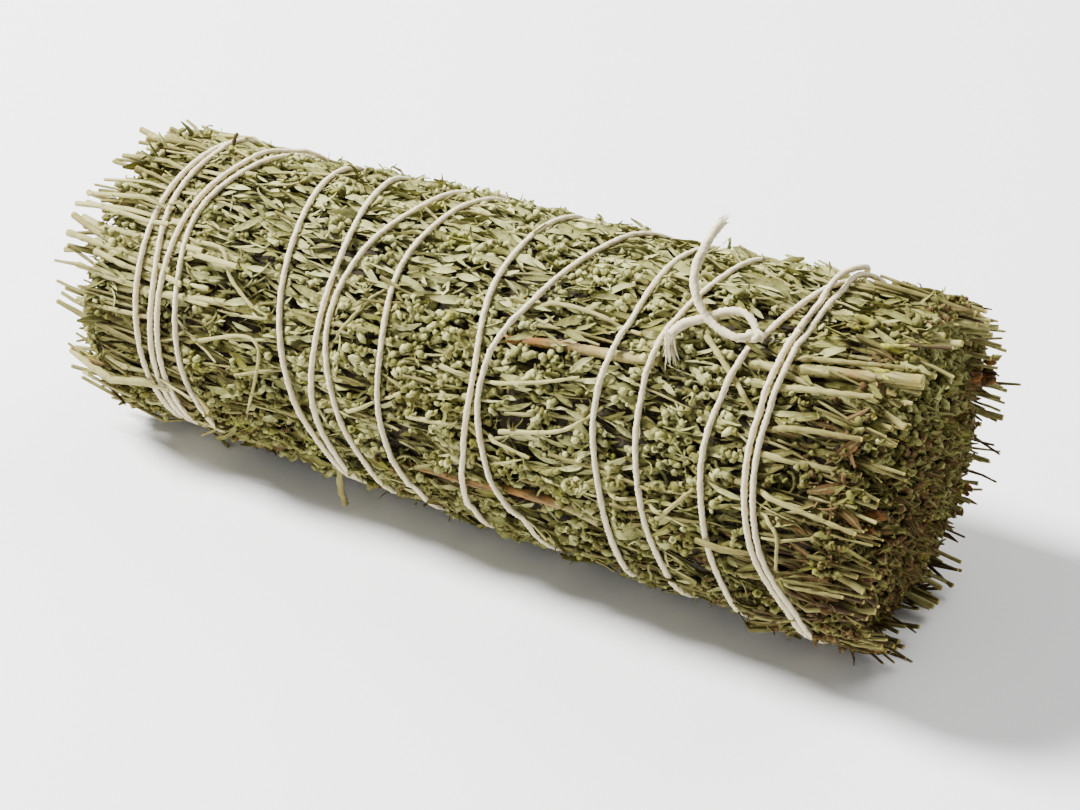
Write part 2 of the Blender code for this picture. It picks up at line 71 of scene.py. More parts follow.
# The roll, as its solids have it
ROLL_LENGTH = 102 * MM
LEFT_RADIUS = 17.4 * MM
RIGHT_RADIUS = 20.0 * MM
MIDDLE_RADIUS = (LEFT_RADIUS + RIGHT_RADIUS) / 2
RADIUS_SLOPE = (RIGHT_RADIUS - LEFT_RADIUS) / ROLL_LENGTH
FLAT_DEPTH = 0.5 * MM
SHIFT = Vector((1.685, -0.289, 0.0)) * MM  # puts the middle of the footprint on the origin
RING_TWIST = math.radians(10)
RING_WOBBLE = 0.5 * MM
# Rings of stems: name, how many, inner and outer radius as shares of the roll's, first angle in degrees
OUTER_RING = ("leafy_stem", 16, 0.625, 0.952, 11.25)
MIDDLE_RING = ("inner_stem", 6, 0.265, 0.600, 15.0)
HEART_SHARE = 0.240

# The string: where each strand crosses the front, in mm along the roll, in the order it was wound
STRING_DIAMETER = 0.85 * MM
STRING_HEIGHT = -0.22 * MM  # soft string sinks a little into the leaves
STRING_FLOOR_GAP = 0.2 * MM
FINE_STEPS = 128  # places a turn
STRANDS_APART = 0.96 * STRING_DIAMETER
CROSSING_REACH = 3.0 * MM
FRONT_ANGLES = (-30, 0, 30, 60, 90)
STRANDS = (
    (44.2, 39.9, 37.9, 38.0, 38.1),
    (43.2, 38.9, 36.9, 37.0, 37.1),
    (22.2, 20.9, 18.6, 19.0, 19.1),
    (3.2, 3.4, 3.4, 1.8, 2.0),
    (-4.4, -7.6, -8.8, -10.1, -9.1),
    (-16.2, -19.8, -22.8, -24.8, -26.6),
    (-34.6, -36.2, -37.5, -38.6, -36.8),
    (-41.0, -42.1, -43.3, -44.0, -43.9),
    (-39.6, -40.3, -40.9, -42.6, -42.9),
    (-38.4, -39.2, -39.8, -39.8, -38.4),
    (-15.0, -17.0, -17.4, -18.0, -19.5),
    (-10.5, -13.6, -16.2, -15.7, -13.0),
    (10.8, 6.3, 4.5, 7.2, 10.4),
    (28.2, 26.0, 23.8, 23.5, 25.4),
)
TOP_ANGLE = 126  # a strand keeps its way this far over the top
BACK_ANGLE = -135
KNOT_ANGLE = 65.0
KNOT_X = 33.4
KNOT_HEIGHT = 0.85
AFTER_KNOT = ((KNOT_ANGLE + 1, 33.6), (90, 35.8))
BEFORE_KNOT = ((BACK_ANGLE, 35.7), (-30, 35.6), (0, 33.5), (30, 31.9), (KNOT_ANGLE - 1, 33.2))
# The two loose tails: mm along the roll, angle, height above the roll's radius in mm
LONG_TAIL = (
    (33.2, 66.0, 0.9), (32.2, 62.5, 1.2), (30.6, 62.5, 1.4), (29.0, 63.6, 1.7), (27.6, 65.3, 2.4),
    (26.4, 68.0, 3.5), (25.6, 71.0, 4.4), (25.2, 75.0, 5.4), (25.4, 80.0, 6.6), (25.8, 82.5, 7.6),
    (26.4, 84.5, 8.5),
)
SHORT_TAIL = (
    (33.6, 64.5, 0.8), (33.0, 67.5, 1.2), (31.6, 70.0, 1.7), (29.8, 69.4, 1.9), (28.2, 67.2, 1.6),
    (26.9, 65.4, 1.2), (25.6, 63.2, 1.1), (24.8, 60.5, 1.0), (24.6, 57.5, 1.0), (24.9, 55.0, 0.8),
)

# A soft white tuft that lies between two strands near the thick end, laid out like a tail
TUFT = ((37.4, 86.0, 0.30), (37.3, 77.0, 0.45), (37.1, 67.0, 0.45), (36.9, 58.0, 0.25))

# Bare twigs in the surface: name, radius in mm, (mm along the roll, angle) from end to end
TWIG_HEIGHT = -0.75 * MM
TWIG_SLIMNESS = 0.76  # bark stands in from the plain bars by this share
PALE_SLIMNESS = 0.64
PALE_LIFT = 0.14 * MM
TWIG_STEPS = 60
TWIG_TAPER = ((0, 0.72), (0.2, 0.86), (0.4, 0.94), (0.6, 1.0), (1, 1.0))  # place along, share of the radius
TWIG_KNOBS = ((0.33, 0.16, 0.03), (0.71, 0.13, 0.025))  # place along, height and reach, as shares
TWIGS = (
    ("pale_cut_stem", 1.05, ((33.6, 57), (39.6, 60), (46.0, 63.5), (51.8, 67))),
    ("brown_twig_upper", 0.80, ((5.8, 44), (12.4, 47), (17.2, 48), (24.0, 50.5))),
    ("brown_twig_lower", 0.75, ((-5.0, -17), (5.4, -13), (13.4, -10), (20.4, -12))),
)

STALK_STEPS = 26
# Single stalks that stand out: radius in mm, tint, (mm along the roll, angle, height in mm)
STALKS = (
    (0.28, 0.85, ((8.0, 13, 0.1), (15.6, 20, 0.3), (19.4, 31, 0.7))),
    (0.30, 0.75, ((-36.4, 48, 0.3), (-32.4, 47, 0.7), (-30.0, 38, 0.6), (-26.2, 30, 0.2))),
    (0.34, 0.05, ((-42.2, 97, -0.2), (-41.8, 99, 0.9), (-41.4, 101, 2.0))),
    (0.50, 0.78, ((-17.2, -34, 0.2), (-16.7, -42, 1.2), (-16.4, -48, 2.3), (-16.2, -51.5, 3.2))),
    (0.24, 0.85, ((39.6, 13, 0.2), (42.0, 9, 0.7), (42.4, 1, 0.8), (42.3, -6, 0.6))),
    (0.26, 0.80, ((20.0, 2, 0.0), (27.0, 3, 0.3), (33.0, 0, 0.1))),
    (0.30, 0.78, ((-4.0, 8, 0.0), (4.0, 10, 0.2), (12.0, 7, 0.1))),
    (0.30, 0.70, ((38.0, -12, 0.1), (44.0, -9, 0.4), (50.0, -6, 0.5))),
    (0.34, 0.72, ((36.0, 20, 0.0), (43.0, 18, 0.4), (50.5, 16, 0.4))),
    (0.32, 0.66, ((5.0, 58, 0.1), (13.0, 60, 0.3), (21.0, 57, 0.1))),
    (0.25, 0.75, ((-33.0, 12, 0.1), (-27.0, 19, 0.4), (-24.3, 16, 0.5), (-24.9, 1, 0.4), (-27.3, -19, 0.2))),
    (0.26, 0.80, ((-14.5, -2, 0.2), (-8.9, 8, 0.4), (-4.9, 16, 0.3))),
    (0.28, 0.60, ((-16.0, 22, 0.0), (-13.4, 35, 0.3), (-10.8, 50, 0.1))),
    (0.28, 0.82, ((-0.7, 29, 0.1), (5.0, 28, 0.4), (11.7, 33, 0.4), (16.0, 38, 0.0))),
    (0.30, 0.62, ((26.5, -6, 0.0), (30.5, 9, 0.3), (33.0, 18, 0.1))),
    (0.36, 0.66, ((28.0, 62, 0.1), (34.0, 48, 0.5), (37.0, 40, 0.3))),
    (0.40, 0.55, ((37.0, 38, 0.0), (42.0, 41, 0.4), (48.5, 43, 0.3))),
    (0.46, 0.80, ((35.0, 51, 0.1), (41.0, 53, 0.3), (48.0, 56, 0.3))),
    (0.34, 0.60, ((37.0, 62, 0.1), (44.0, 65, 0.3), (50.0, 68, 0.4))),
    (0.42, 0.90, ((-50.0, 34, 0.0), (-43.0, 31, -0.4), (-33.0, 32, -0.1))),
    (0.38, 0.85, ((-52.0, 27, 0.1), (-44.0, 25, -0.4), (-32.5, 26, -0.1))),
    (0.45, 0.80, ((-54.5, 38, 0.2), (-47.0, 37, -0.2), (-39.0, 38, -0.5))),
)

# Bits of strong colour: colour, mm along the roll, angle, share of the radius, length in mm
BITS = (
    ("rust", 50.6, -5, 0.84, 2.6), ("rust", 50.2, -13, 0.77, 2.0), ("rust", 50.4, 12, 0.83, 1.8),
    ("rust", 50.8, 19, 0.77, 2.2), ("rust", 50.6, 168, 0.88, 2.4), ("rust", 50.6, 150, 0.68, 2.0),
    ("rust", 50.2, 164, 0.95, 1.6), ("rust", 50.4, -146, 0.87, 1.6), ("rust", 50.6, -62, 0.94, 2.2),
    ("fresh", 47.4, 65, 1.00, 4.4), ("fresh", 48.0, 75, 1.00, 3.8), ("fresh", 43.4, 81, 1.00, 4.6),
    ("fresh", 50.8, -156, 1.0, 2.2), ("fresh", 50.4, -35, 0.90, 2.0),
)

# The stage
LENS = 85.0
SENSOR = 36.0
IMAGE_WIDTH = 1080
CAMERA_PLACE = SHIFT + Vector((124.53, -217.08, 179.30)) * MM
CAMERA_TARGET = SHIFT + Vector((0, 0, 18.75)) * MM
CAMERA_SHIFT = (20.1, -42.1)  # in pixels of the whole image
LIGHTS = (
    # name, place and size in metres, power in watts
    ("key", (-0.50, -0.10, 0.60), 0.25, 28.0),
    ("fill", (-0.35, -0.85, 0.45), 0.9, 2.2),
    ("back", (0.2, 0.6, 0.7), 0.7, 8.0),
)
WORLD_STRENGTH = 0.30
FLOOR_HALF_WIDTH = 3.0


# The roll's own shape

def roll_radius(x):
    return MIDDLE_RADIUS + RADIUS_SLOPE * x


def axis_height(x):
    return roll_radius(x) - FLAT_DEPTH


def on_roll(x, angle, radius):
    """The point at this distance from the roll's axis, with the angle in radians, 0 at the front."""
    return SHIFT + Vector((x, -radius * math.cos(angle), axis_height(x) + radius * math.sin(angle)))


def boundary_angle(ring, index, x):
    """Where the boundary between two neighbouring stems of a ring lies at x."""
    _, count, inner, outer, first = ring
    middle = (inner + outer) / 2 * roll_radius(x)
    wobble = RING_WOBBLE / middle * math.sin(x / ROLL_LENGTH * 7.0 + index % count * 2.4)
    return math.radians(first + 360 / count * index) + RING_TWIST * x / ROLL_LENGTH + wobble


def stem_at(x, angle):
    """The number of the outer stem that a place on the roll belongs to."""
    for index in range(OUTER_RING[1]):
        low = boundary_angle(OUTER_RING, index, x)
        high = boundary_angle(OUTER_RING, index + 1, x)
        if (angle - low) % math.tau <= high - low:
            return index
    return 0


def spaced(points, t):
    """A smooth curve through (place, value) points, read at place t."""
    upper = next((i for i, point in enumerate(points) if point[0] >= t), len(points) - 1)
    upper = max(upper, 1)
    (t0, v0), (t1, v1) = points[upper - 1], points[upper]

    def slope(i):
        before, after = points[max(i - 1, 0)], points[min(i + 1, len(points) - 1)]
        return (after[1] - before[1]) / (after[0] - before[0])

    h = t1 - t0
    s = min(max((t - t0) / h, 0), 1)
    return (
        (2 * s**3 - 3 * s**2 + 1) * v0 + (s**3 - 2 * s**2 + s) * h * slope(upper - 1)
        + (3 * s**2 - 2 * s**3) * v1 + (s**3 - s**2) * h * slope(upper)
    )


def smooth_route(points, count):
    """Evenly spread tuples of values along a smooth line through the given tuples."""
    columns = [[(k, point[c]) for k, point in enumerate(points)] for c in range(len(points[0]))]
    last = len(points) - 1
    return [tuple(spaced(column, i / (count - 1) * last) for column in columns) for i in range(count)]


def surface_route(points, count, lift=0.0):
    """A smooth line of points from (mm along the roll, angle in degrees, height in mm) tuples."""
    return [
        on_roll(x * MM, math.radians(angle), roll_radius(x * MM) + height * MM + lift)
        for x, angle, height in smooth_route(points, count)
    ]


# The string's path

def winding_knots():
    knots = [(angle, x * MM) for angle, x in AFTER_KNOT]
    for turn, strand in enumerate(STRANDS, start=1):
        knots.append((360 * turn + BACK_ANGLE, strand[0] * MM))
        knots += [(360 * turn + angle, x * MM) for angle, x in zip(FRONT_ANGLES, strand)]
        knots.append((360 * turn + TOP_ANGLE, (strand[4] + 0.8 * (strand[4] - strand[3])) * MM))
    last = 360 * (len(STRANDS) + 1)
    return knots + [(last + angle, x * MM) for angle, x in BEFORE_KNOT]


def arc_distance(one, other):
    turn = (one[1] - other[1] + math.pi) % math.tau - math.pi
    return math.hypot(one[0] - other[0], turn * roll_radius(one[0]))


def string_heights(places, turn, window):
    """Height above the roll of each place of the string: it climbs over twigs and earlier turns."""
    under = []
    for _, radius, route in TWIGS:
        clear = radius * MM + STRING_DIAMETER / 2
        under += [((x * MM, math.radians(a)), TWIG_HEIGHT, clear) for x, a in smooth_route(route, 40)]
    heights = []
    for i, place in enumerate(places):
        done = i - turn // 2
        if done >= window:
            j = done - window
            settled = max(heights[max(0, j - window):j + window + 1])
            under.append((places[j], settled, STRANDS_APART))
        height = STRING_HEIGHT
        for other, base, clear in under:
            if abs(other[0] - place[0]) < clear:
                distance = arc_distance(place, other)
                if distance < clear:
                    height = max(height, base + math.sqrt(clear**2 - distance**2))
        heights.append(height)
    return [max(heights[max(0, i - window):i + window + 1]) for i in range(len(heights))]


def string_route(every):
    """The wound string's centreline, thinned to one place in every so many."""
    knots = winding_knots()
    first, last = knots[0][0], knots[-1][0]
    count = round((last - first) / 360 * FINE_STEPS)
    degrees = [first + (last - first) * i / count for i in range(count + 1)]
    places = [(spaced(knots, t), math.radians(t)) for t in degrees]
    step = math.tau * MIDDLE_RADIUS / FINE_STEPS
    heights = string_heights(places, FINE_STEPS, round(CROSSING_REACH / step))
    route = []
    for i in range(0, count + 1, every):
        x, angle = places[i]
        point = on_roll(x, angle, roll_radius(x) + heights[i])
        point.z = max(point.z, STRING_DIAMETER / 2 + STRING_FLOOR_GAP)
        route.append(point)
    return route


def under_string(points, radius, tree):
    """A stalk's points, pressed towards the roll's axis where it runs under the string."""
    pressed = []
    for point in points:
        near, _, distance = tree.find(point)
        axis = Vector((point.x, SHIFT.y, axis_height(point.x - SHIFT.x)))
        spoke = (point - axis).normalized()
        allowed = (near - axis).dot(spoke) - STRING_DIAMETER * 0.4 - radius
        share = min(1.0, max(0.0, 2.0 - distance / (1.1 * MM)))
        pressed.append(point - spoke * share * max(0.0, (point - axis).dot(spoke) - allowed))
    return pressed


# Nodes written as Python

class Link:
    """A node's output socket. Python's operators on it add Math nodes."""

    def __init__(self, graph, socket):
        self.graph = graph
        self.socket = socket

    def other(self, name):
        """Another output of the same node."""
        return Link(self.graph, self.socket.node.outputs[name])

    def maths(self, operation, *values, clamp=False):
        inputs = dict(enumerate(values))
        return self.graph.node("ShaderNodeMath", inputs, operation=operation, use_clamp=clamp)

    def __add__(self, value):
        return self.maths("ADD", self, value)

    def __radd__(self, value):
        return self.maths("ADD", value, self)

    def __sub__(self, value):
        return self.maths("SUBTRACT", self, value)

    def __rsub__(self, value):
        return self.maths("SUBTRACT", value, self)

    def __mul__(self, value):
        return self.maths("MULTIPLY", self, value)

    def __rmul__(self, value):
        return self.maths("MULTIPLY", value, self)

    def __truediv__(self, value):
        return self.maths("DIVIDE", self, value)

    def __rtruediv__(self, value):
        return self.maths("DIVIDE", value, self)

    def __pow__(self, value):
        return self.maths("POWER", self, value)

    def clamped(self):
        return self.maths("ADD", self, 0.0, clamp=True)

    def at_least(self, value):
        return self.maths("MAXIMUM", self, value)

    def absolute(self):
        return self.maths("ABSOLUTE", self)


class Graph:
    """A node tree that is being filled."""

    def __init__(self, tree):
        self.tree = tree

    def node(self, kind, inputs=None, out=0, stops=None, **settings):
        """Adds one node: its settings first, then the values or links of its sockets."""
        node = self.tree.nodes.new(kind)
        for key, value in settings.items():
            setattr(node, key, value)
        if stops:
            ramp = node.color_ramp
            while len(ramp.elements) < len(stops):
                ramp.elements.new(0.5)
            for element, (place, colour) in zip(ramp.elements, stops):
                element.position = place
                element.color = (*colour, 1.0)
        for key, value in (inputs or {}).items():
            self.feed(node.inputs[key], value)
        return Link(self, node.outputs[out]) if node.outputs else node

    def feed(self, socket, value):
        if isinstance(value, Link):
            self.tree.links.new(value.socket, socket)
        else:
            socket.default_value = value

    # what both kinds of tree share
    def scaled(self, vector, factor):
        return self.node("ShaderNodeVectorMath", {0: vector, "Scale": factor}, operation="SCALE")

    def vector(self, x, y, z):
        return self.node("ShaderNodeCombineXYZ", {0: x, 1: y, 2: z})

    def split(self, vector):
        whole = self.node("ShaderNodeSeparateXYZ", {0: vector})
        return whole, whole.other("Y"), whole.other("Z")

    def noise(self, vector, scale, detail):
        return self.node("ShaderNodeTexNoise", {"Vector": vector, "Scale": scale, "Detail": detail})


class Finish(Graph):
    """A procedural material."""

    def __init__(self, name):
        self.material = bpy.data.materials.new(name)
        self.material.use_nodes = True
        super().__init__(self.material.node_tree)
        self.shader = self.tree.nodes["Principled BSDF"]
        self.place = self.node("ShaderNodeTexCoord", out="Object")

    def attribute(self, name, out="Fac"):
        return self.node("ShaderNodeAttribute", out=out, attribute_name=name)

    def mixed(self, factor, one, two, blend_type="MIX"):
        """A colour between two colours."""
        inputs = {0: factor, 6: opaque(one), 7: opaque(two)}
        return self.node("ShaderNodeMix", inputs, out=2, data_type="RGBA", blend_type=blend_type)

    def bump(self, height, distance, strength=1.0, under=None):
        inputs = {"Height": height, "Distance": distance, "Strength": strength}
        if under is not None:
            inputs["Normal"] = under
        return self.node("ShaderNodeBump", inputs)

    def depth(self):
        """The place along the roll and how deep under its round surface."""
        inward = self.node("ShaderNodeVectorMath", {0: self.place, 1: SHIFT}, operation="SUBTRACT")
        x, y, z = self.split(inward)
        radius = x * RADIUS_SLOPE + MIDDLE_RADIUS
        height = z - radius + FLAT_DEPTH
        distance = (y * y + height * height) ** 0.5
        return x, radius - distance

    def painted_shade_mask(self, reach):
        """0 at the roll's surface and at its two ends, 1 where it lies this deep: where painted shade darkens
        what lies deep between the leaves.
        """
        x, depth = self.depth()
        open_end = ((x.absolute() - ROLL_LENGTH / 2 + 6 * MM) / (4 * MM)).clamped()
        return (depth / reach).clamped() * (1 - open_end)

    def painted_light_and_shade(self):
        """Painted light and shade by place on the roll: how much darker and greener the bunch is painted
        towards its two ends and its underside, where shade falls, and how much lighter on top and on the
        upper part of the thick end's face, where the light falls.
        """
        _, _, z = self.split(self.place)
        x, depth = self.depth()
        face = ((x - 45 * MM) / (1.5 * MM)).clamped() * ((depth - 0.8 * MM) / (1.2 * MM)).clamped()
        # painted light: the upper part of the thick end's face is painted lighter, as if lit
        lit = face * (((z - 28 * MM) / (5 * MM)).clamped() * 0.36 + 0.26)
        near_end = ((x - 34 * MM) / (14 * MM)).clamped() * 0.34
        thick_end = ((x - 18 * MM) / (30 * MM)).clamped() * 0.20 + near_end - lit
        thin_end = ((-30 * MM - x) / (14 * MM)).clamped() * 0.10
        # painted shade on the underside and towards the ends, painted light on top
        return thick_end + thin_end + ((30 * MM - z) / (30 * MM)).clamped() * 0.50 - 0.16

    def set(self, **values):
        """Sets or links the shader's inputs, an underscore standing for a space."""
        for key, value in values.items():
            self.feed(self.shader.inputs[key.replace("_", " ")], value)
        return self.material


def opaque(colour):
    return colour if isinstance(colour, Link) else (*colour[:3], 1.0)


# Materials

def shaded_inside_finish(colours):
    """The crumbled inside that shows in the gaps; its near-black colour is painted shade for the gaps between
    the leaves.
    """
    made = Finish("crumbled_inside")
    coarse = made.noise(made.place, 700, 5)
    # painted shade: the gaps' near-black, a little mottled
    colour = made.mixed(coarse, colours.gap, [c * 2.6 for c in colours.gap])
    return made.set(Base_Color=colour, Roughness=0.95, Normal=made.bump(coarse, 0.5 * MM))


def leaf_finish(colours):
    """Felted dry leaves and buds: each has its own tint, a paler rib and browner ends, with painted shade
    where they lie deep in the bunch and painted light and shade by their place on the roll.
    """
    made = Finish("felted_leaf")
    tint, along, across = (made.attribute(name) for name in ("tint", "along", "across"))
    broad = made.noise(made.place, 95, 2)
    mottle = made.noise(made.place, 1500, 3)
    felt = made.noise(made.place, 9000, 2)
    # painted light and shade by place on the roll darkens or lightens the tint
    shade = (tint + (broad - 0.5) * 0.9 + (mottle - 0.5) * 0.35 - made.painted_light_and_shade()).clamped()
    colour = made.node("ShaderNodeValToRGB", {0: shade}, stops=(
        (0.0, colours.leaf_brown), (0.09, colours.leaf_olive), (0.40, colours.leaf_green),
        (0.68, colours.leaf_grey), (1.0, colours.leaf_pale)))
    fresh = ((made.noise(made.place, 260, 1) - 0.62) * 7).clamped()
    colour = made.mixed(fresh * 0.55, colour, colours.leaf_fresh)
    rib = (1 - across.absolute() * 3.2).clamped()
    colour = made.mixed(rib * 0.30, colour, colours.leaf_pale)
    colour = made.mixed(((0.34 - along) * 3.5).clamped() * 0.55, colour, colours.leaf_olive)
    scorched = ((along - 0.86) * 6 + (mottle - 0.5) * 1.5).clamped()
    colour = made.mixed(scorched * 0.28, colour, colours.leaf_brown)
    # painted shade: leaves that lie deep between others are darkened towards the gaps' near-black
    painted_shade_mask = made.painted_shade_mask(2.4 * MM)
    colour = made.mixed(painted_shade_mask * 0.85, colour, colours.gap)
    normal = made.bump(mottle, 0.20 * MM, 0.9)
    normal = made.bump(felt, 0.03 * MM, 0.7, normal)
    return made.set(Base_Color=colour, Roughness=0.88 + felt * 0.1, Normal=normal, Specular_IOR_Level=0.25)


def stalk_finish(colours):
    """Bare stalks and cut stems: pale, streaked along their length, with darker scars and a yellow pith,
    painted shade where they lie deep and painted light and shade by their place on the roll.
    """
    made = Finish("streaked_stalk")
    tint, along = made.attribute("tint"), made.attribute("along")
    stretched = made.node("ShaderNodeMapping", {"Vector": made.place, "Scale": (0.10, 1.0, 1.0)})
    streak = made.noise(stretched, 3800, 3)
    mottle = made.noise(made.place, 800, 3)
    # painted light and shade by place on the roll, at a little over half strength
    shade = (tint + (mottle - 0.5) * 0.5 + (streak - 0.5) * 0.5 - made.painted_light_and_shade() * 0.55).clamped()
    colour = made.node("ShaderNodeValToRGB", {0: shade}, stops=(
        (0.0, colours.bark), (0.08, colours.leaf_olive),
        (0.45, colours.stem_olive), (1.0, colours.stem_pale)))
    scar = ((made.noise(made.place, 1400, 1) - 0.66) * 12).clamped()
    colour = made.mixed(scar * 0.5, colour, colours.gap)
    colour = made.mixed(((along - 0.985) * 200).clamped(), colour, colours.pith)
    # painted shade where the stalk lies deep between the leaves
    colour = made.mixed(made.painted_shade_mask(2.8 * MM) * 0.75, colour, colours.gap)
    normal = made.bump(streak, 0.08 * MM, 0.8)
    return made.set(Base_Color=colour, Roughness=0.75 + mottle * 0.2, Normal=normal, Specular_IOR_Level=0.3)


def string_finish(colours):
    """Soft twisted cotton: fine fibres that follow the twist, a little soiled here and there, and with
    painted shade in the grooves of its twist.
    """
    made = Finish("spun_cotton")
    fibre = made.attribute("fibre", out="Vector")
    hairs = made.noise(fibre, 6.0, 4)
    dirt = made.noise(made.place, 260, 2)
    hollow = made.attribute("hollow")
    colour = made.mixed((dirt - 0.35).clamped() * 0.9, colours.string, colours.string_soil_and_groove_shade)
    # painted shade in the grooves of the twist
    colour = made.mixed(hollow * 0.45, colour, colours.string_soil_and_groove_shade)
    colour = made.mixed((hairs - 0.45).clamped() * 0.8, colour, [c * 0.72 for c in colours.string_soil_and_groove_shade])
    normal = made.bump(hairs, 0.07 * MM, 0.8)
    return made.set(Base_Color=colour, Roughness=0.92, Normal=normal, Specular_IOR_Level=0.2)


def twig_finish(colours, name, pale):
    """Woody bark with long streaks, dark specks and rust-coloured patches."""
    made = Finish(name)
    x, _, _ = made.split(made.place)
    stretched = made.node("ShaderNodeMapping", {"Vector": made.place, "Scale": (0.07, 1.0, 1.0)})
    streak = made.noise(stretched, 2600, 4)
    mottle = made.noise(made.place, 420, 3)
    speck = ((made.noise(made.place, 2200, 1) - 0.64) * 14).clamped()
    light, dark = (colours.stem_pale, colours.stem_olive) if pale else (colours.twig_light, colours.bark)
    colour = made.mixed(((streak - 0.36) * 3.2).clamped(), dark, light)
    colour = made.mixed(((0.42 - mottle) * 5).clamped() * 0.6, colour, colours.leaf_olive)
    if pale:  # one rust streak near the cut end
        middle = (1 - ((x - 46.5 * MM) / (2.6 * MM)).absolute()).clamped()
        rust = (middle * 2.2 * (streak - 0.2)).clamped()
        colour = made.mixed(rust * 0.75, colour, colours.rust)
        colour = made.mixed(((x - 51.0 * MM) / (2.0 * MM)).clamped() * 0.7, colour, colours.pith)
    else:
        patch = ((mottle - 0.42) * 4).clamped()
        faded = ((x - 15.0 * MM) / (5.0 * MM)).clamped() * 0.8
        colour = made.mixed(patch * (1 - faded), colour, colours.rust)
        colour = made.mixed(faded * 0.75, colour, colours.stem_pale)
    colour = made.mixed(speck * 0.6, colour, colours.gap)
    normal = made.bump(streak, 0.16 * MM, 0.9)
    return made.set(Base_Color=colour, Roughness=0.72 + streak * 0.2, Normal=normal, Specular_IOR_Level=0.3)


def bit_finish(colours, colour):
    """Small broken bits of one strong colour, blotched and darker in places."""
    made = Finish(f"{colour}_bits")
    blotch = made.noise(made.place, 1300, 3)
    main, dark = colours.bit_fresh, colours.leaf_green
    if colour == "rust":
        main, dark = colours.bit_rust, colours.bark
    shade = made.mixed(((blotch - 0.40) * 4).clamped(), dark, main)
    return made.set(Base_Color=shade, Roughness=0.85, Normal=made.bump(blotch, 0.15 * MM, 0.9),
                    Specular_IOR_Level=0.25)


# Meshes

def mesh_object(name, bm, collection=None):
    mesh = bpy.data.meshes.new(name)
    bm.to_mesh(mesh)
    bm.free()
    obj = bpy.data.objects.new(name, mesh)
    (collection or bpy.context.scene.collection).objects.link(obj)
    return obj


def layers(bm, *names):
    """The mesh's own number layers, made where they are missing."""
    known = bm.verts.layers.float
    return [known.get(name) or known.new(name) for name in names]


def sew(bm, rows, closed=True, smooth=True):
    """Faces between neighbouring rows of equally many corners, which are rings where they are closed."""
    count = len(rows[0])
    for row, following in zip(rows, rows[1:]):
        for k in range(count if closed else count - 1):
            j = (k + 1) % count
            bm.faces.new((row[k], row[j], following[j], following[k])).smooth = smooth


def bar(bm, route, radii, sides=6, section=None, rims=(), tint=None):
    """A closed bar along a route, its mesh carrying how far along and across each corner lies.

    Section gives each corner's share of the width and of the thickness, a circle where it is left out.
    Rims are the corners of the section that run along the bar as sharp edges.
    """
    along, across = layers(bm, "along", "across")
    own_tint = layers(bm, "tint")[0] if tint is not None else None
    turns = [math.tau * k / sides for k in range(sides)]
    section = section or [(math.cos(turn), math.sin(turn)) for turn in turns]
    straight = (route[-1] - route[0]).normalized()
    up = Vector((0, 1, 0)) if abs(straight.z) > 0.9 else Vector((0, 0, 1))
    rows = []
    for i, point in enumerate(route):
        ahead = (route[min(i + 1, len(route) - 1)] - route[max(i - 1, 0)]).normalized()
        side = up.cross(ahead).normalized()
        up = ahead.cross(side)
        width, thickness = radii[i] if isinstance(radii[i], tuple) else (radii[i], radii[i])
        row = []
        for u, v in section:
            vertex = bm.verts.new(point + side * (u * width) + up * (v * thickness))
            vertex[along], vertex[across] = i / (len(route) - 1), u
            if own_tint:
                vertex[own_tint] = tint
            row.append(vertex)
        rows.append(row)
    sew(bm, rows)
    bm.faces.new(reversed(rows[0]))
    bm.faces.new(rows[-1])
    for row, following in zip(rows, rows[1:]):
        for k in rims:
            bm.edges.get((row[k], following[k])).smooth = False
    return bm


def turned(bm, profile, sides, twist=0.0):
    """A closed shape turned about X from (place, radius, share along) steps, its first and last a point."""
    along, across = layers(bm, "along", "across")
    rows = []
    for i, (x, radius, share) in enumerate(profile[1:-1]):
        row = []
        for k in range(sides):
            angle = math.tau * k / sides + twist * i
            vertex = bm.verts.new((x, radius * math.cos(angle), radius * math.sin(angle)))
            vertex[along], vertex[across] = share, math.cos(angle)
            row.append(vertex)
        rows.append(row)
    sew(bm, rows)
    for (x, _, share), row, ahead in ((profile[0], rows[0], False), (profile[-1], rows[-1], True)):
        tip = bm.verts.new((x, 0, 0))
        tip[along], tip[across] = share, 1.0
        for k in range(sides):
            one, two = row[k], row[(k + 1) % sides]
            bm.faces.new((one, two, tip) if ahead else (two, one, tip)).smooth = True
    return bm


def bent_line(length, bends, steps, wave=0.0):
    """A line along X that turns by bends, about Z and about Y in degrees, from its root to its tip."""
    point, route = Vector((0, 0, 0)), []
    for i in range(steps + 1):
        route.append(point.copy())
        t = (i + 0.5) / steps
        yaw = math.radians(bends[0]) * (t + wave * math.sin(t * math.tau))
        pitch = math.radians(bends[1]) * t
        way = Vector((math.cos(yaw) * math.cos(pitch), math.sin(yaw) * math.cos(pitch), math.sin(pitch)))
        point += way * length / steps
    middle = route[len(route) // 2]
    return [p - middle for p in route]


# A leaf's cut: a groove above, a keel below, thin at its two rims
LEAF_SECTION = ((-1.0, 0.45), (0.0, -0.05), (1.0, 0.45), (0.0, -0.75))
LEAF_TAPER = (0.28, 0.92, 1.0, 0.22)
# Leaves: bend sideways and upwards in degrees, half width and thickness as shares of the length
LEAVES = (
    (8, -16, 0.120, 0.070), (-24, 12, 0.095, 0.060), (14, -30, 0.125, 0.070), (-8, 20, 0.085, 0.060),
    (36, -12, 0.090, 0.055), (-12, -8, 0.130, 0.070), (20, 26, 0.070, 0.055),
)
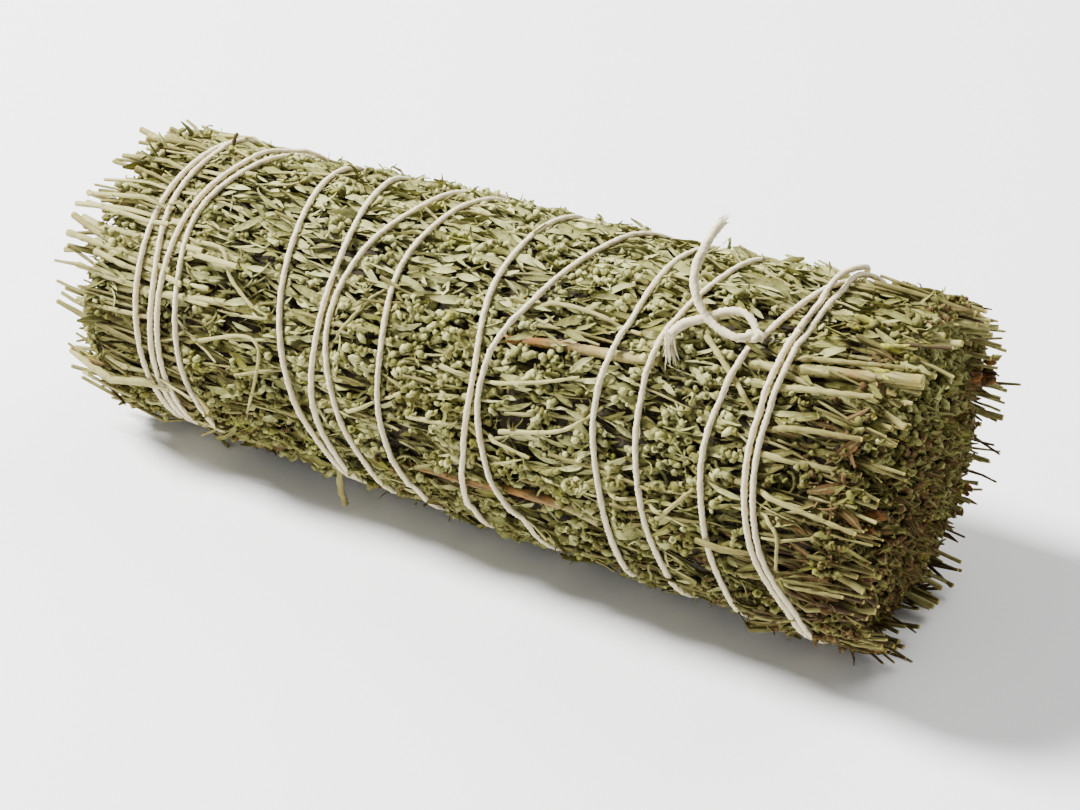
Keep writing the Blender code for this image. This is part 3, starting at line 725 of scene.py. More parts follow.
# Buds: (place along, radius, share along) from root to tip, in widths of the bud
BUDS = (
    ((-0.62, 0, 0.0), (-0.32, 0.40, 0.3), (0.18, 0.47, 0.6), (0.66, 0, 0.95)),
    ((-0.80, 0, 0.0), (-0.40, 0.30, 0.3), (0.25, 0.42, 0.6), (0.85, 0, 0.95)),
    ((-0.60, 0, 0.0), (-0.30, 0.34, 0.3), (0.45, 0.46, 0.7), (0.50, 0.26, 1.0), (0.05, 0, 1.3)),
    ((-0.50, 0, 0.0), (-0.25, 0.45, 0.3), (0.15, 0.50, 0.6), (0.50, 0, 0.95)),
)
STALKS_DRAWN = ((14, 4, 0.0), (-20, -6, 0.15), (8, 8, -0.35), (-34, 0, 0.35), (26, -8, 0.6))
CURLS = ((140, 30, 0.0), (-190, 12, 0.1), (90, -20, 0.9), (-110, 40, -0.6), (50, 50, 0.4))
CURL_SECTION = ((-1, 0.3), (1, 0.3), (0, -0.9))
CUT_STEMS = ((5, 3), (-10, -5), (3, -9), (14, 5), (-4, 10))


def make_library():
    """Small parts of unit length or width that the stems are dressed with, one collection for each kind."""
    library = {}

    def kind(name):
        library[name] = bpy.data.collections.new(name)
        bpy.context.scene.collection.children.link(library[name])
        return library[name]

    leaves = kind("leaves")
    for k, (yaw, pitch, width, thick) in enumerate(LEAVES):
        line = bent_line(1.0, (yaw, pitch), 3)
        radii = [(width * share, thick * (0.35 + 0.65 * share)) for share in LEAF_TAPER]
        mesh_object(f"leaf_{k}", bar(bmesh.new(), line, radii, section=LEAF_SECTION, rims=(0, 2)), leaves)
    buds = kind("buds")
    for k, profile in enumerate(BUDS):
        mesh_object(f"bud_{k}", turned(bmesh.new(), profile, 5, math.radians(36)), buds)
    stalks = kind("stalks")
    for k, (yaw, pitch, wave) in enumerate(STALKS_DRAWN):
        line = bent_line(1.0, (yaw, pitch), 5, wave)
        radii = [0.024 * share for share in (0.75, 1.05, 0.85, 1.1, 0.85, 0.7)]
        mesh_object(f"stalk_{k}", bar(bmesh.new(), line, radii, 4), stalks)
    curls = kind("curls")
    for k, (yaw, pitch, wave) in enumerate(CURLS):
        line = bent_line(1.3, (yaw, pitch), 6, wave)
        radii = [(0.070 * share, 0.045 * share) for share in (0.9, 1.1, 1.0, 0.95, 0.8, 0.6, 0.3)]
        mesh_object(f"curl_{k}", bar(bmesh.new(), line, radii, section=CURL_SECTION, rims=(0, 1)), curls)
    cut = kind("cut_stems")
    for k, (yaw, pitch) in enumerate(CUT_STEMS):
        line = bent_line(1.0, (yaw, pitch), 4, 0.35)
        line = [point - line[-1] for point in line]  # its cut end on the origin, the rest back along -X
        radii = [0.021 * share for share in (0.92, 1.0, 0.94, 1.04, 1.0)]
        mesh_object(f"cut_stem_{k}", bar(bmesh.new(), line, radii, 6), cut)
    sprays = kind("sprays")
    for k, count in enumerate((7, 9, 6)):
        rng = random.Random(40 + k)
        bm = bmesh.new()
        for i in range(count):
            t = i / (count - 1) - 0.5
            bm.verts.new((t * 2.4, rng.uniform(-0.8, 0.8), rng.uniform(-0.4, 0.5)))
        mesh_object(f"spray_{k}", bm, sprays)
    return library


def clear_library(library):
    for collection in library.values():
        for obj in list(collection.objects):
            bpy.data.objects.remove(obj)
        bpy.data.collections.remove(collection)


# The dressing tree

DRESSING_INPUTS = (
    # name, kind, default
    ("Guide", "NodeSocketGeometry", None),
    ("Leaf Density", "NodeSocketFloat", 0.45e6),
    ("Leaf Length", "NodeSocketFloat", 4.6 * MM),
    ("Spray Density", "NodeSocketFloat", 0.12e6),
    ("Bud Width", "NodeSocketFloat", 0.8 * MM),
    ("Curl Density", "NodeSocketFloat", 0.25e6),
    ("Curl Length", "NodeSocketFloat", 2.6 * MM),
    ("Stalk Density", "NodeSocketFloat", 0.10e6),
    ("Stalk Length", "NodeSocketFloat", 9.0 * MM),
    ("Bare Density", "NodeSocketFloat", 0.36e6),
    ("Bare Length", "NodeSocketFloat", 20 * MM),
    ("Press Reach", "NodeSocketFloat", 2.2 * MM),
    ("Press Depth", "NodeSocketFloat", 0.5 * MM),
    ("Seed", "NodeSocketInt", 1),
)
LEFT_BARE = (-34 * MM, -46 * MM)  # leaves give way to bare stems between these places
RIGHT_BARE = (38 * MM, 52 * MM)
TWIG_CLEARANCE = 0.85 * MM
LUMP_HEIGHT = 0.9 * MM
TUCK_WIDTH = (0.45 * MM, 1.3 * MM)  # nothing within the first lies over the string, beyond the second all may
TUCK_DEPTH = 0.30 * MM
FLOOR_GAP = 0.04 * MM  # nothing is sown lower than this


class Dressing(Graph):
    """A Geometry Nodes tree that sows small parts over a guide patch and presses them under the string."""

    def __init__(self, name, inputs, library, string_guide=None, twig_guide=None):
        tree = bpy.data.node_groups.new(name, "GeometryNodeTree")
        super().__init__(tree)
        self.library = library
        for title, kind, default in inputs:
            socket = tree.interface.new_socket(title, in_out="INPUT", socket_type=kind)
            if default is not None:
                socket.default_value = default
        tree.interface.new_socket("Dressed", in_out="OUTPUT", socket_type="NodeSocketGeometry")
        self.given = self.node("NodeGroupInput")
        self.string, self.twigs = (
            guide and self.node("GeometryNodeObjectInfo", {"Object": guide}, out="Geometry")
            for guide in (string_guide, twig_guide))

    def input(self, title):
        return self.given.other(title)

    def seed(self, number):
        return self.input("Seed") * 7.0 + number

    def random(self, low, high, number, kind="FLOAT"):
        first, out = {"FLOAT_VECTOR": (0, 0), "FLOAT": (2, 1), "INT": (4, 2)}[kind]
        inputs = {first: low, first + 1: high, "Seed": self.seed(number)}
        return self.node("FunctionNodeRandomValue", inputs, out=out, data_type=kind)

    def wobbled(self, rotation, turns, number):
        """The rotation turned at random about its own axes, by up to so many degrees either way."""
        wide = Vector([math.radians(turn) for turn in turns])
        euler = self.random(-wide, wide, number, "FLOAT_VECTOR")
        turn = self.node("FunctionNodeEulerToRotation", {0: euler})
        return self.node("FunctionNodeRotateRotation", {"Rotation": rotation, "Rotate By": turn},
                         rotation_space="LOCAL")

    def facing(self, normal, forward, turns, number):
        """A rotation whose Z follows the normal and whose X points forward, then turned at random."""
        upright = self.node("FunctionNodeAlignRotationToVector", {"Vector": normal}, axis="Z")
        ahead = self.node("FunctionNodeAlignRotationToVector", {"Rotation": upright, "Vector": forward},
                          axis="X", pivot_axis="Z")
        return self.wobbled(ahead, turns, number)

    def distance_to(self, guide):
        return self.node("GeometryNodeProximity", {0: guide}, out="Distance", target_element="EDGES")

    def pressed(self):
        """How far the string presses a place in: fully under it, and less the further away it is."""
        share = (1 - self.distance_to(self.string) / self.input("Press Reach")).clamped()
        return share * share * self.input("Press Depth")

    def tucked(self, geometry):
        """Pushes what would lie over the string in under it."""
        here = self.node("GeometryNodeInputPosition")
        nearest = self.distance_to(self.string).other("Position")
        x, y, z = self.split(here)
        axis = (x - SHIFT.x) * RADIUS_SLOPE + MIDDLE_RADIUS - FLAT_DEPTH
        spoke = self.vector(0.0, y - SHIFT.y, z - axis)
        spoke = self.node("ShaderNodeVectorMath", {0: spoke}, operation="NORMALIZE")
        gap = self.node("ShaderNodeVectorMath", {0: here, 1: nearest}, operation="SUBTRACT")
        above = self.node("ShaderNodeVectorMath", {0: gap, 1: spoke}, out="Value", operation="DOT_PRODUCT")
        distance = nearest.other("Distance")
        beside = (distance * distance - above * above).at_least(0.0) ** 0.5
        share = (1 - (beside - TUCK_WIDTH[0]) / (TUCK_WIDTH[1] - TUCK_WIDTH[0])).clamped()
        push = (above + TUCK_DEPTH).at_least(0.0) * share
        return self.moved(geometry, spoke, push * -1.0)

    def bare(self):
        """0 along the middle of the roll and 1 at its ends, where the stems are bare."""
        x, _, _ = self.split(self.node("GeometryNodeInputPosition"))
        left = ((LEFT_BARE[0] - x) / (LEFT_BARE[0] - LEFT_BARE[1])).clamped()
        right = ((x - RIGHT_BARE[0]) / (RIGHT_BARE[1] - RIGHT_BARE[0])).clamped()
        return left, right

    def points(self, patch, density, number):
        return self.node("GeometryNodeDistributePointsOnFaces", {
            "Mesh": patch, "Density": density, "Seed": self.seed(number)}, distribute_method="RANDOM")

    def moved(self, points, normal, lift):
        return self.node("GeometryNodeSetPosition", {"Geometry": points, "Offset": self.scaled(normal, lift)})

    def sown(self, patch, density, depths, number, clumps=0.0, clump_size=180):
        """Points on a patch, between two depths in mm and clear of the twigs, and the normal there."""
        if clumps:
            field = self.noise(self.node("GeometryNodeInputPosition"), clump_size, 1)
            density = density * (((field - 0.5) * clumps + 1).at_least(0.12))
        points = self.points(patch, density, number)
        normal = points.other("Normal")
        distance = self.distance_to(self.twigs)
        near = distance.maths("LESS_THAN", distance, TWIG_CLEARANCE)
        inputs = {"Geometry": points, "Selection": near}
        kept = self.node("GeometryNodeDeleteGeometry", inputs, domain="POINT")
        lift = self.random(depths[0] * MM, depths[1] * MM, number + 1) - self.pressed()
        return self.moved(kept, normal, lift), normal

    def placed(self, points, kind, rotation, scale, tints, number):
        """One part of a kind on every point, with a tint of its own."""
        parts = self.node("GeometryNodeCollectionInfo", {
            "Collection": self.library[kind], "Separate Children": True, "Reset Children": True})
        last = len(self.library[kind].objects) - 1
        parts = self.node("GeometryNodeInstanceOnPoints", {
            "Points": points, "Instance": parts, "Pick Instance": True,
            "Instance Index": self.random(0, last, number + 3, "INT"), "Rotation": rotation, "Scale": scale})
        return self.stored(parts, "tint", self.random(tints[0], tints[1], number + 4), domain="INSTANCE")

    def stored(self, geometry, name, value, data_type="FLOAT", domain="POINT"):
        inputs = {"Geometry": geometry, "Name": name, "Value": value}
        return self.node("GeometryNodeStoreNamedAttribute", inputs, data_type=data_type, domain=domain)

    def sized(self, size, spread, number, slender=1.0):
        """A random scale, the width and thickness following the length by this share."""
        size = self.random(spread[0], spread[1], number) * size
        return self.vector(size, size * slender, size * slender)

    def finish(self, groups, floor=None):
        """Gives each group its material, joins them, keeps them off the ground and realizes them."""
        join = self.tree.nodes.new("GeometryNodeJoinGeometry")
        for geometry, material in groups:
            plain = self.node("GeometryNodeRealizeInstances", {"Geometry": geometry})
            coated = self.node("GeometryNodeSetMaterial", {"Geometry": plain, "Material": material})
            self.tree.links.new(coated.socket, join.inputs[0])
        whole = Link(self, join.outputs[0])
        if floor is not None:
            x, y, z = self.split(self.node("GeometryNodeInputPosition"))
            place = self.vector(x, y, z.at_least(floor))
            whole = self.node("GeometryNodeSetPosition", {"Geometry": whole, "Position": place})
        if self.string:
            whole = self.tucked(whole)
        whole = self.node("GeometryNodeRealizeInstances", {"Geometry": whole})
        self.node("NodeGroupOutput", {"Dressed": whole})
        return self.tree


# Layers from the inside out: depths in mm, share of the density, tints, turns about X, Y and Z. The deeper
# layers of leaves, sprays and stalks get darker tints, painted shade deep in the bunch.
LEAF_LAYERS = (
    ((-2.1, -1.2), 0.35, (0.00, 0.40), (50, 5, 18)),
    ((-1.3, -0.5), 0.95, (0.10, 0.75), (60, 11, 23)),
    ((-0.6, 0.00), 0.92, (0.25, 1.00), (70, 16, 29)),
)
SPRAY_LAYERS = (((-1.4, -0.6), 0.55, (0.05, 0.65)), ((-0.6, 0.0), 1.0, (0.25, 0.95)))
STALK_LAYERS = (((-2.0, -1.0), 0.9, (0.10, 0.55)), ((-0.9, -0.1), 0.7, (0.30, 0.90)))


def leafy_tree(library, finishes, string_guide, twig_guide):
    """Leaves, bud sprays, curls, stalks and bare cut stems over the outside of one leafy stem."""
    made = Dressing("leafy_dressing", DRESSING_INPUTS, library, string_guide, twig_guide)
    patch = made.input("Guide")
    forward = Vector((1, 0, 0))
    left, right = made.bare()
    leafy = 1 - left * 0.35 - right * 0.45
    groups = []
    for k, (depths, share, tints, turns) in enumerate(LEAF_LAYERS):
        number = 10 + 20 * k
        points, normal = made.sown(patch, made.input("Leaf Density") * leafy * share, depths, number, 1.6)
        either = made.vector((made.random(0.0, 1.0, number + 5) - 0.35) * 4, 0.0, 0.0)
        rotation = made.facing(normal, either, turns, number + 6)
        scale = made.sized(made.input("Leaf Length"), (0.45, 1.25), number + 7)
        groups.append((made.placed(points, "leaves", rotation, scale, tints, number), finishes["leaf"]))
    # first the places of each spray, then a bud on every one
    for k, (depths, share, tints) in enumerate(SPRAY_LAYERS):
        number = 110 + 20 * k
        density = made.input("Spray Density") * leafy * share
        points, normal = made.sown(patch, density, depths, number, 3.6, 150)
        rotation = made.facing(normal, forward, (30, 8, 35), number + 6)
        scale = made.sized(made.input("Bud Width"), (0.75, 1.2), number + 7)
        places = made.placed(points, "sprays", rotation, scale, tints, number)
        places = made.node("GeometryNodeRealizeInstances", {"Geometry": places})
        places = made.node("GeometryNodeMeshToPoints", {"Mesh": places})
        flat = made.node("FunctionNodeEulerToRotation", {0: (0.0, 0.0, 0.0)})
        rotation = made.wobbled(flat, (180, 50, 70), number + 8)
        scale = made.sized(made.input("Bud Width"), (0.6, 1.25), number + 9)
        groups.append((made.placed(places, "buds", rotation, scale, tints, number + 10), finishes["leaf"]))
    density = made.input("Curl Density") * leafy
    points, normal = made.sown(patch, density, (-1.1, 0.15), 210, 2.4, 120)
    rotation = made.facing(normal, forward, (80, 30, 120), 216)
    scale = made.sized(made.input("Curl Length"), (0.4, 1.2), 217)
    groups.append((made.placed(points, "curls", rotation, scale, (0.2, 0.95), 220), finishes["leaf"]))
    for k, (depths, share, tints) in enumerate(STALK_LAYERS):
        number = 310 + 20 * k
        density = made.input("Stalk Density") * share * (1 + left * 1.2 + right * 0.6)
        points, normal = made.sown(patch, density, depths, number)
        rotation = made.facing(normal, forward, (180, 5, 18), number + 6)
        scale = made.sized(made.input("Stalk Length"), (0.4, 1.4), number + 7, 0.9)
        groups.append((made.placed(points, "stalks", rotation, scale, tints, number), finishes["stalk"]))
    # bare stems whose cut ends stand out past the roll's ends
    half = ROLL_LENGTH / 2
    for number, side, mask, ends, thick, share in (
            (410, -1, left, (-5.0, 4.8), 1.1, 0.9), (430, 1, right, (-6.0, 1.8), 1.35, 0.6)):
        points = made.points(patch, made.input("Bare Density") * mask, number)
        normal = points.other("Normal")
        _, y, z = made.split(made.node("GeometryNodeInputPosition"))
        reach = made.random(half + ends[0] * MM, half + ends[1] * MM, number + 2)
        place = made.vector(reach * side + SHIFT.x, y, z)
        points = made.node("GeometryNodeSetPosition", {"Geometry": points, "Position": place})
        points = made.moved(points, normal, made.random(-1.8 * MM, -0.6 * MM, number + 1))
        rotation = made.facing(normal, forward * side, (180, 4, 5), number + 6)
        slender = made.random(0.6 * thick, 1.3 * thick, number + 8)
        scale = made.sized(made.input("Bare Length") * share, (0.35, 1.05), number + 7, slender)
        stems = made.placed(points, "cut_stems", rotation, scale, (0.3, 1.05), number)
        groups.append((stems, finishes["stalk"]))
    return made.finish(groups, floor=FLOOR_GAP)


END_INPUTS = (
    ("Guide", "NodeSocketGeometry", None),
    ("Stem Density", "NodeSocketFloat", 0.25e6),
    ("Stem Length", "NodeSocketFloat", 17 * MM),
    ("Stem Spread", "NodeSocketFloat", 4.0 * MM),
    ("Crumb Density", "NodeSocketFloat", 1.2e6),
    ("Crumb Reach", "NodeSocketFloat", 0.9 * MM),
    ("Bud Width", "NodeSocketFloat", 0.8 * MM),
    ("Seed", "NodeSocketInt", 1),
)
# Broken tips on an end face: kind, share of the density, size in bud widths
CRUMBS = (("buds", 1.0, 1.0), ("leaves", 0.5, 4.0), ("curls", 0.3, 2.6))


def end_tree(library, finishes):
    """Cut stems and broken leaf tips on an end face, standing out along its normal."""
    made = Dressing("end_dressing", END_INPUTS, library)
    patch = made.input("Guide")
    groups = []

    def outward_parts(kind, density, lift, scale, turns, tints, number, finish):
        points = made.points(patch, density, number)
        normal = points.other("Normal")
        points = made.moved(points, normal, lift)
        ahead = made.node("FunctionNodeAlignRotationToVector", {"Vector": normal}, axis="X")
        rotation = made.wobbled(ahead, turns, number + 6)
        groups.append((made.placed(points, kind, rotation, scale, tints, number), finish))

    for number, thickness, share in ((10, 0.75, 0.55), (30, 1.4, 0.45)):
        density = made.input("Stem Density") * share
        lift = made.random(-0.7, 1.0, number + 1) * made.input("Stem Spread")
        scale = made.sized(made.input("Stem Length"), (0.75, 1.2), number + 7, thickness)
        outward_parts("cut_stems", density, lift, scale, (180, 7, 7), (0.1, 0.8), number, finishes["stalk"])
    for k, (kind, share, size) in enumerate(CRUMBS):
        number = 110 + 20 * k
        density = made.input("Crumb Density") * share
        lift = made.random(-0.9 * MM, made.input("Crumb Reach"), number + 1)
        scale = made.sized(made.input("Bud Width") * size, (0.6, 1.3), number + 7)
        outward_parts(kind, density, lift, scale, (180, 45, 45), (0.05, 0.85), number, finishes["leaf"])
    return made.finish(groups, floor=FLOOR_GAP)


def grown(name, guide, tree, values):
    """The guide with the tree applied, as a plain object. Values are set by the sockets' identifiers."""
    obj = guide if isinstance(guide, bpy.types.Object) else mesh_object(name, guide)
    modifier = obj.modifiers.new("dressing", "NODES")
    modifier.node_group = tree
    for item in tree.interface.items_tree:
        if item.item_type == "SOCKET" and item.in_out == "INPUT" and item.name in values:
            modifier[item.identifier] = values[item.name]
    bpy.context.view_layer.update()
    graph = bpy.context.evaluated_depsgraph_get()
    mesh = bpy.data.meshes.new_from_object(
        obj.evaluated_get(graph), preserve_all_data_layers=True, depsgraph=graph)
    bpy.data.objects.remove(obj)
    for slot in reversed(range(len(mesh.materials))):
        if mesh.materials[slot] is None:
            mesh.materials.pop(index=slot)
    made = bpy.data.objects.new(name, mesh)
    bpy.context.scene.collection.objects.link(made)
    return made


def joined(name, objects):
    """One object from several."""
    first = objects[0]
    with bpy.context.temp_override(
            active_object=first, selected_editable_objects=objects, selected_objects=objects):
        bpy.ops.object.join()
    first.name = name
    first.data.name = name
    return first


def claim(piece, node):
    """Parents the finished piece to the root body and hides the node that it stands for."""
    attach(piece, "root")
    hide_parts(node)


# One stem's guides and inside

OUTER_INSET = 5.2 * MM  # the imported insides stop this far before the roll's ends
INNER_INSET = 2.4 * MM


def side_patch(ring, index, start, end, steps=40, across=6):
    """A thin sheet over the outside of one stem that its parts are sown on, facing outwards."""
    bm = bmesh.new()
    rows = []
    for i in range(steps + 1):
        x = start + (end - start) * i / steps
        low, high = boundary_angle(ring, index, x), boundary_angle(ring, index + 1, x)
        row = []
        for k in range(across + 1):
            angle = low + (high - low) * k / across
            point = on_roll(x, angle, roll_radius(x) + lump(x, angle))
            point.z = max(point.z, 0.35 * MM)
            row.append(bm.verts.new(point))
        rows.append(row)
    sew(bm, rows, closed=False, smooth=False)
    return outward(bm)


def lump(x, angle):
    """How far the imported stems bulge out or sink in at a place."""
    place = Vector((x / (9 * MM), math.cos(angle) * 2.6, math.sin(angle) * 2.6))
    return LUMP_HEIGHT * (noise.noise(place) - 0.15)


def outward(bm):
    """Turns an open sheet so that it faces away from the roll's axis."""
    bm.normal_update()
    score = 0
    for face in bm.faces:
        middle = face.calc_center_median() - SHIFT
        score += face.normal.dot(Vector((0, middle.y, middle.z - axis_height(middle.x)))) * face.calc_area()
    if score < 0:
        bmesh.ops.reverse_faces(bm, faces=bm.faces)
    return bm


def end_patch(low, high, inner, outer, side, flare, steps=4):
    """A sheet over one end of a stem between two angles and two shares of the radius, tipped outwards."""
    bm = bmesh.new()
    rows = []
    for i in range(steps + 1):
        share = inner + (outer - inner) * i / steps
        x = side * ROLL_LENGTH / 2 - side * flare * share**2 * roll_radius(side * ROLL_LENGTH / 2)
        row = []
        for k in range(steps + 1):
            angle = low + (high - low) * k / steps
            point = on_roll(x, angle, share * roll_radius(x))
            point.z = max(point.z, 0.4 * MM)
            row.append(bm.verts.new(point))
        rows.append(row)
    sew(bm, rows, closed=False, smooth=False)
    bm.normal_update()
    if sum(face.normal.x * face.calc_area() for face in bm.faces) * side < 0:
        bmesh.ops.reverse_faces(bm, faces=bm.faces)
    return bm


def inside(ring, index, seed, outer_depth, steps=70):
    """The packed, crumbled inside of one stem: a closed bar with a rough outside."""
    rng = random.Random(seed)
    half = ROLL_LENGTH / 2 - (OUTER_INSET if ring is OUTER_RING else INNER_INSET)
    bm = bmesh.new()
    rows = []
    for i in range(steps + 1):
        x = -half + 2 * half * i / steps
        low, high = boundary_angle(ring, index, x), boundary_angle(ring, index + 1, x)
        inner = roll_radius(x) * ring[2]
        outer = roll_radius(x) * (1 if ring is OUTER_RING else ring[3]) - outer_depth
        points = [on_roll(x, low, inner), on_roll(x, high, inner)]
        for k in range(7):
            rough = outer + rng.uniform(-0.35, 0.35) * MM
            points.append(on_roll(x, high + (low - high) * k / 6, rough))
        for point in points:
            point.z = max(point.z, 0.3 * MM + rng.uniform(0, 0.15) * MM)
        rows.append([bm.verts.new(point) for point in points])
    sew(bm, rows, smooth=False)
    bm.faces.new(reversed(rows[0]))
    bm.faces.new(rows[-1])
    bmesh.ops.recalc_face_normals(bm, faces=bm.faces)
    return bm


def finished(obj, material):
    obj.data.materials.clear()
    obj.data.materials.append(material)
    return obj


def make_finishes(colours):
    """Every material of the roll, made once."""
    known = bpy.data.materials
    makers = {
        "inside": ("crumbled_inside", shaded_inside_finish), "leaf": ("felted_leaf", leaf_finish),
        "stalk": ("streaked_stalk", stalk_finish), "string": ("spun_cotton", string_finish)}
    return {kind: known.get(name) or maker(colours) for kind, (name, maker) in makers.items()}


def bare_lines(name, routes):
    """Routes as bare edges, to be looked up by distance."""
    bm = bmesh.new()
    for route in routes:
        corners = [bm.verts.new(point) for point in route]
        for start, end in zip(corners, corners[1:]):
            bm.edges.new((start, end))
    return mesh_object(name, bm)


def twig_lines():
    """The twigs' paths, lifted to the surface that leaves are sown on."""
    return [surface_route([(x, angle, 0.0) for x, angle in route], 12) for _, _, route in TWIGS]


def coloured_bit(colour, x, angle, share, length, rng):
    """A few rusty lumps or narrow fresh leaves that lie together along the roll."""
    bm = bmesh.new()
    seat = on_roll(x * MM, math.radians(angle), share * roll_radius(x * MM))
    rusty = colour == "rust"
    widths = (0.10, 0.24, 0.20, 0.26, 0.12) if rusty else (0.05, 0.11, 0.13, 0.11, 0.03)
    for _ in range(7 if rusty else 3):
        whole = length * rng.uniform(0.6, 1.0) * MM
        bends = rng.uniform(-60, 60), rng.uniform(-40, 40)
        reach = 0.26 if rusty else 0.12
        offset = Vector([rng.uniform(-reach, reach) * length * MM for _ in range(3)])
        route = [seat + offset + point for point in bent_line(whole * (0.7 if rusty else 1.0), bends, 4)]
        radii = [whole * width * rng.uniform(0.6, 1.2) for width in widths]
        bar(bm, route, radii, 6 if rusty else 5)
    return mesh_object("bit", bm)


# Settings

def size(name, description, default):
    return FloatProperty(
        name=name, description=description, default=default, unit="LENGTH", subtype="DISTANCE")


def crowding(name, description, default):
    return FloatProperty(name=name, description=description, default=default)


def shade(name, description, *default):
    return FloatVectorProperty(name=name, description=description, default=default, subtype="COLOR")


class SageSizes(PropertyGroup):
    leaf_length: size("Leaf length", "Middle length of a leaf", 3.65 * MM)
    leaf_density: crowding("Leaf density", "Leaves on each square metre of one layer", 0.46e6)
    bud_width: size("Bud width", "Middle width of a flower bud", 0.92 * MM)
    spray_density: crowding("Spray density", "Sprays of buds on each square metre", 0.108e6)
    curl_length: size("Curl length", "Middle length of a curled dry leaf", 2.6 * MM)
    curl_density: crowding("Curl density", "Curled leaves on each square metre", 0.22e6)
    stalk_length: size("Stalk length", "Middle length of a bare stalk", 9 * MM)
    stalk_density: crowding("Stalk density", "Stalks on each square metre", 0.095e6)
    seed: IntProperty(name="Seed", description="Chooses another arrangement of leaves", default=3)


class SageColours(PropertyGroup):
    leaf_pale: shade("Pale leaf", "Palest felted leaves", 0.45, 0.44, 0.185)
    leaf_grey: shade("Grey leaf", "Grey-green leaves", 0.265, 0.26, 0.088)
    leaf_green: shade("Green leaf", "Most of the leaves", 0.145, 0.135, 0.028)
    leaf_olive: shade("Olive leaf", "Darker leaves", 0.070, 0.058, 0.011)
    leaf_brown: shade("Brown leaf", "Leaves that have turned", 0.085, 0.045, 0.012)
    leaf_fresh: shade("Fresh leaf", "Yellow-green patches", 0.25, 0.25, 0.022)
    stem_pale: shade("Pale stem", "Palest bare stems", 0.40, 0.365, 0.145)
    stem_olive: shade("Olive stem", "Most bare stems", 0.18, 0.155, 0.044)
    pith: shade("Pith", "Cut ends of stems", 0.34, 0.27, 0.06)
    bark: shade("Bark", "Brown bark", 0.052, 0.027, 0.009)
    twig_light: shade("Light bark", "Worn bark", 0.29, 0.18, 0.050)
    rust: shade("Rust", "Orange patches in bark", 0.19, 0.070, 0.008)
    bit_rust: shade("Rusty bits", "Orange crumbs at the cut end", 0.21, 0.083, 0.014)
    bit_fresh: shade("Fresh bits", "Yellow-green tips", 0.42, 0.40, 0.055)
    # painted shade: the near-black of the gaps, used for the inside and for what lies deep, and also for real
    # scars on stalks and specks on bark
    gap: shade("Gap", "Dark inside between the leaves", 0.012, 0.008, 0.002)
    string: shade("String", "Clean cotton", 0.83, 0.74, 0.50)
    # used both for soiled cotton and for painted shade in the twist's grooves
    string_soil_and_groove_shade: shade("Soiled string", "Cotton in the twist's grooves", 0.55, 0.45, 0.26)
    floor: shade("Floor", "The plain pale floor", 0.92, 0.92, 0.915)


# Operators

# Each end's face: side, flare, stems on a square metre, their length and spread, crumbs on a square metre and
# their reach. The thin end is shaggier than the thick one.
OUTER_ENDS = (
    (-1, 0.20, 0.26e6, 16 * MM, 3.8 * MM, 1.7e6, 2.8 * MM),
    (1, 0.22, 0.20e6, 12 * MM, 1.3 * MM, 2.2e6, 0.9 * MM),
)
INNER_ENDS = (
    (-1, 0.10, 0.26e6, 13 * MM, 3.4 * MM, 1.4e6, 2.4 * MM),
    (1, 0.10, 0.10e6, 13 * MM, 0.9 * MM, 2.6e6, 0.9 * MM),
)
END_INPUT_NAMES = ("Stem Density", "Stem Length", "Stem Spread", "Crumb Density", "Crumb Reach")
END_SHARE = 0.985  # an end's sown face stops just inside the roll's surface
SIDE_INSETS = (3 * MM, 1.2 * MM)  # the leafy side starts and stops this far from the two ends
STRING_THINNING = 2  # leaves out every other place of the string's fine path


def leafiness(angle):
    """How leafy, bud-covered, curly and stalky a stem is, by where it lies round the roll."""
    top = max(0.0, math.sin(angle)) ** 1.5
    low = max(0.0, -math.sin(angle))
    middle = 1 - max(top, low)
    under = 1 - 0.55 * min(1.0, max(0.0, (low - 0.7) / 0.2))  # little shows of what lies on the ground
    return {
        "leaf": (1.15 * top + 0.55 * middle + 0.65 * low) * under,
        "spray": (0.55 * top + 1.35 * middle + 0.75 * low) * under,
        "curl": (0.7 * top + 1.15 * middle + 0.85 * low) * under,
        "stalk": (0.7 * top + 0.9 * middle + 1.4 * low) * under,
    }


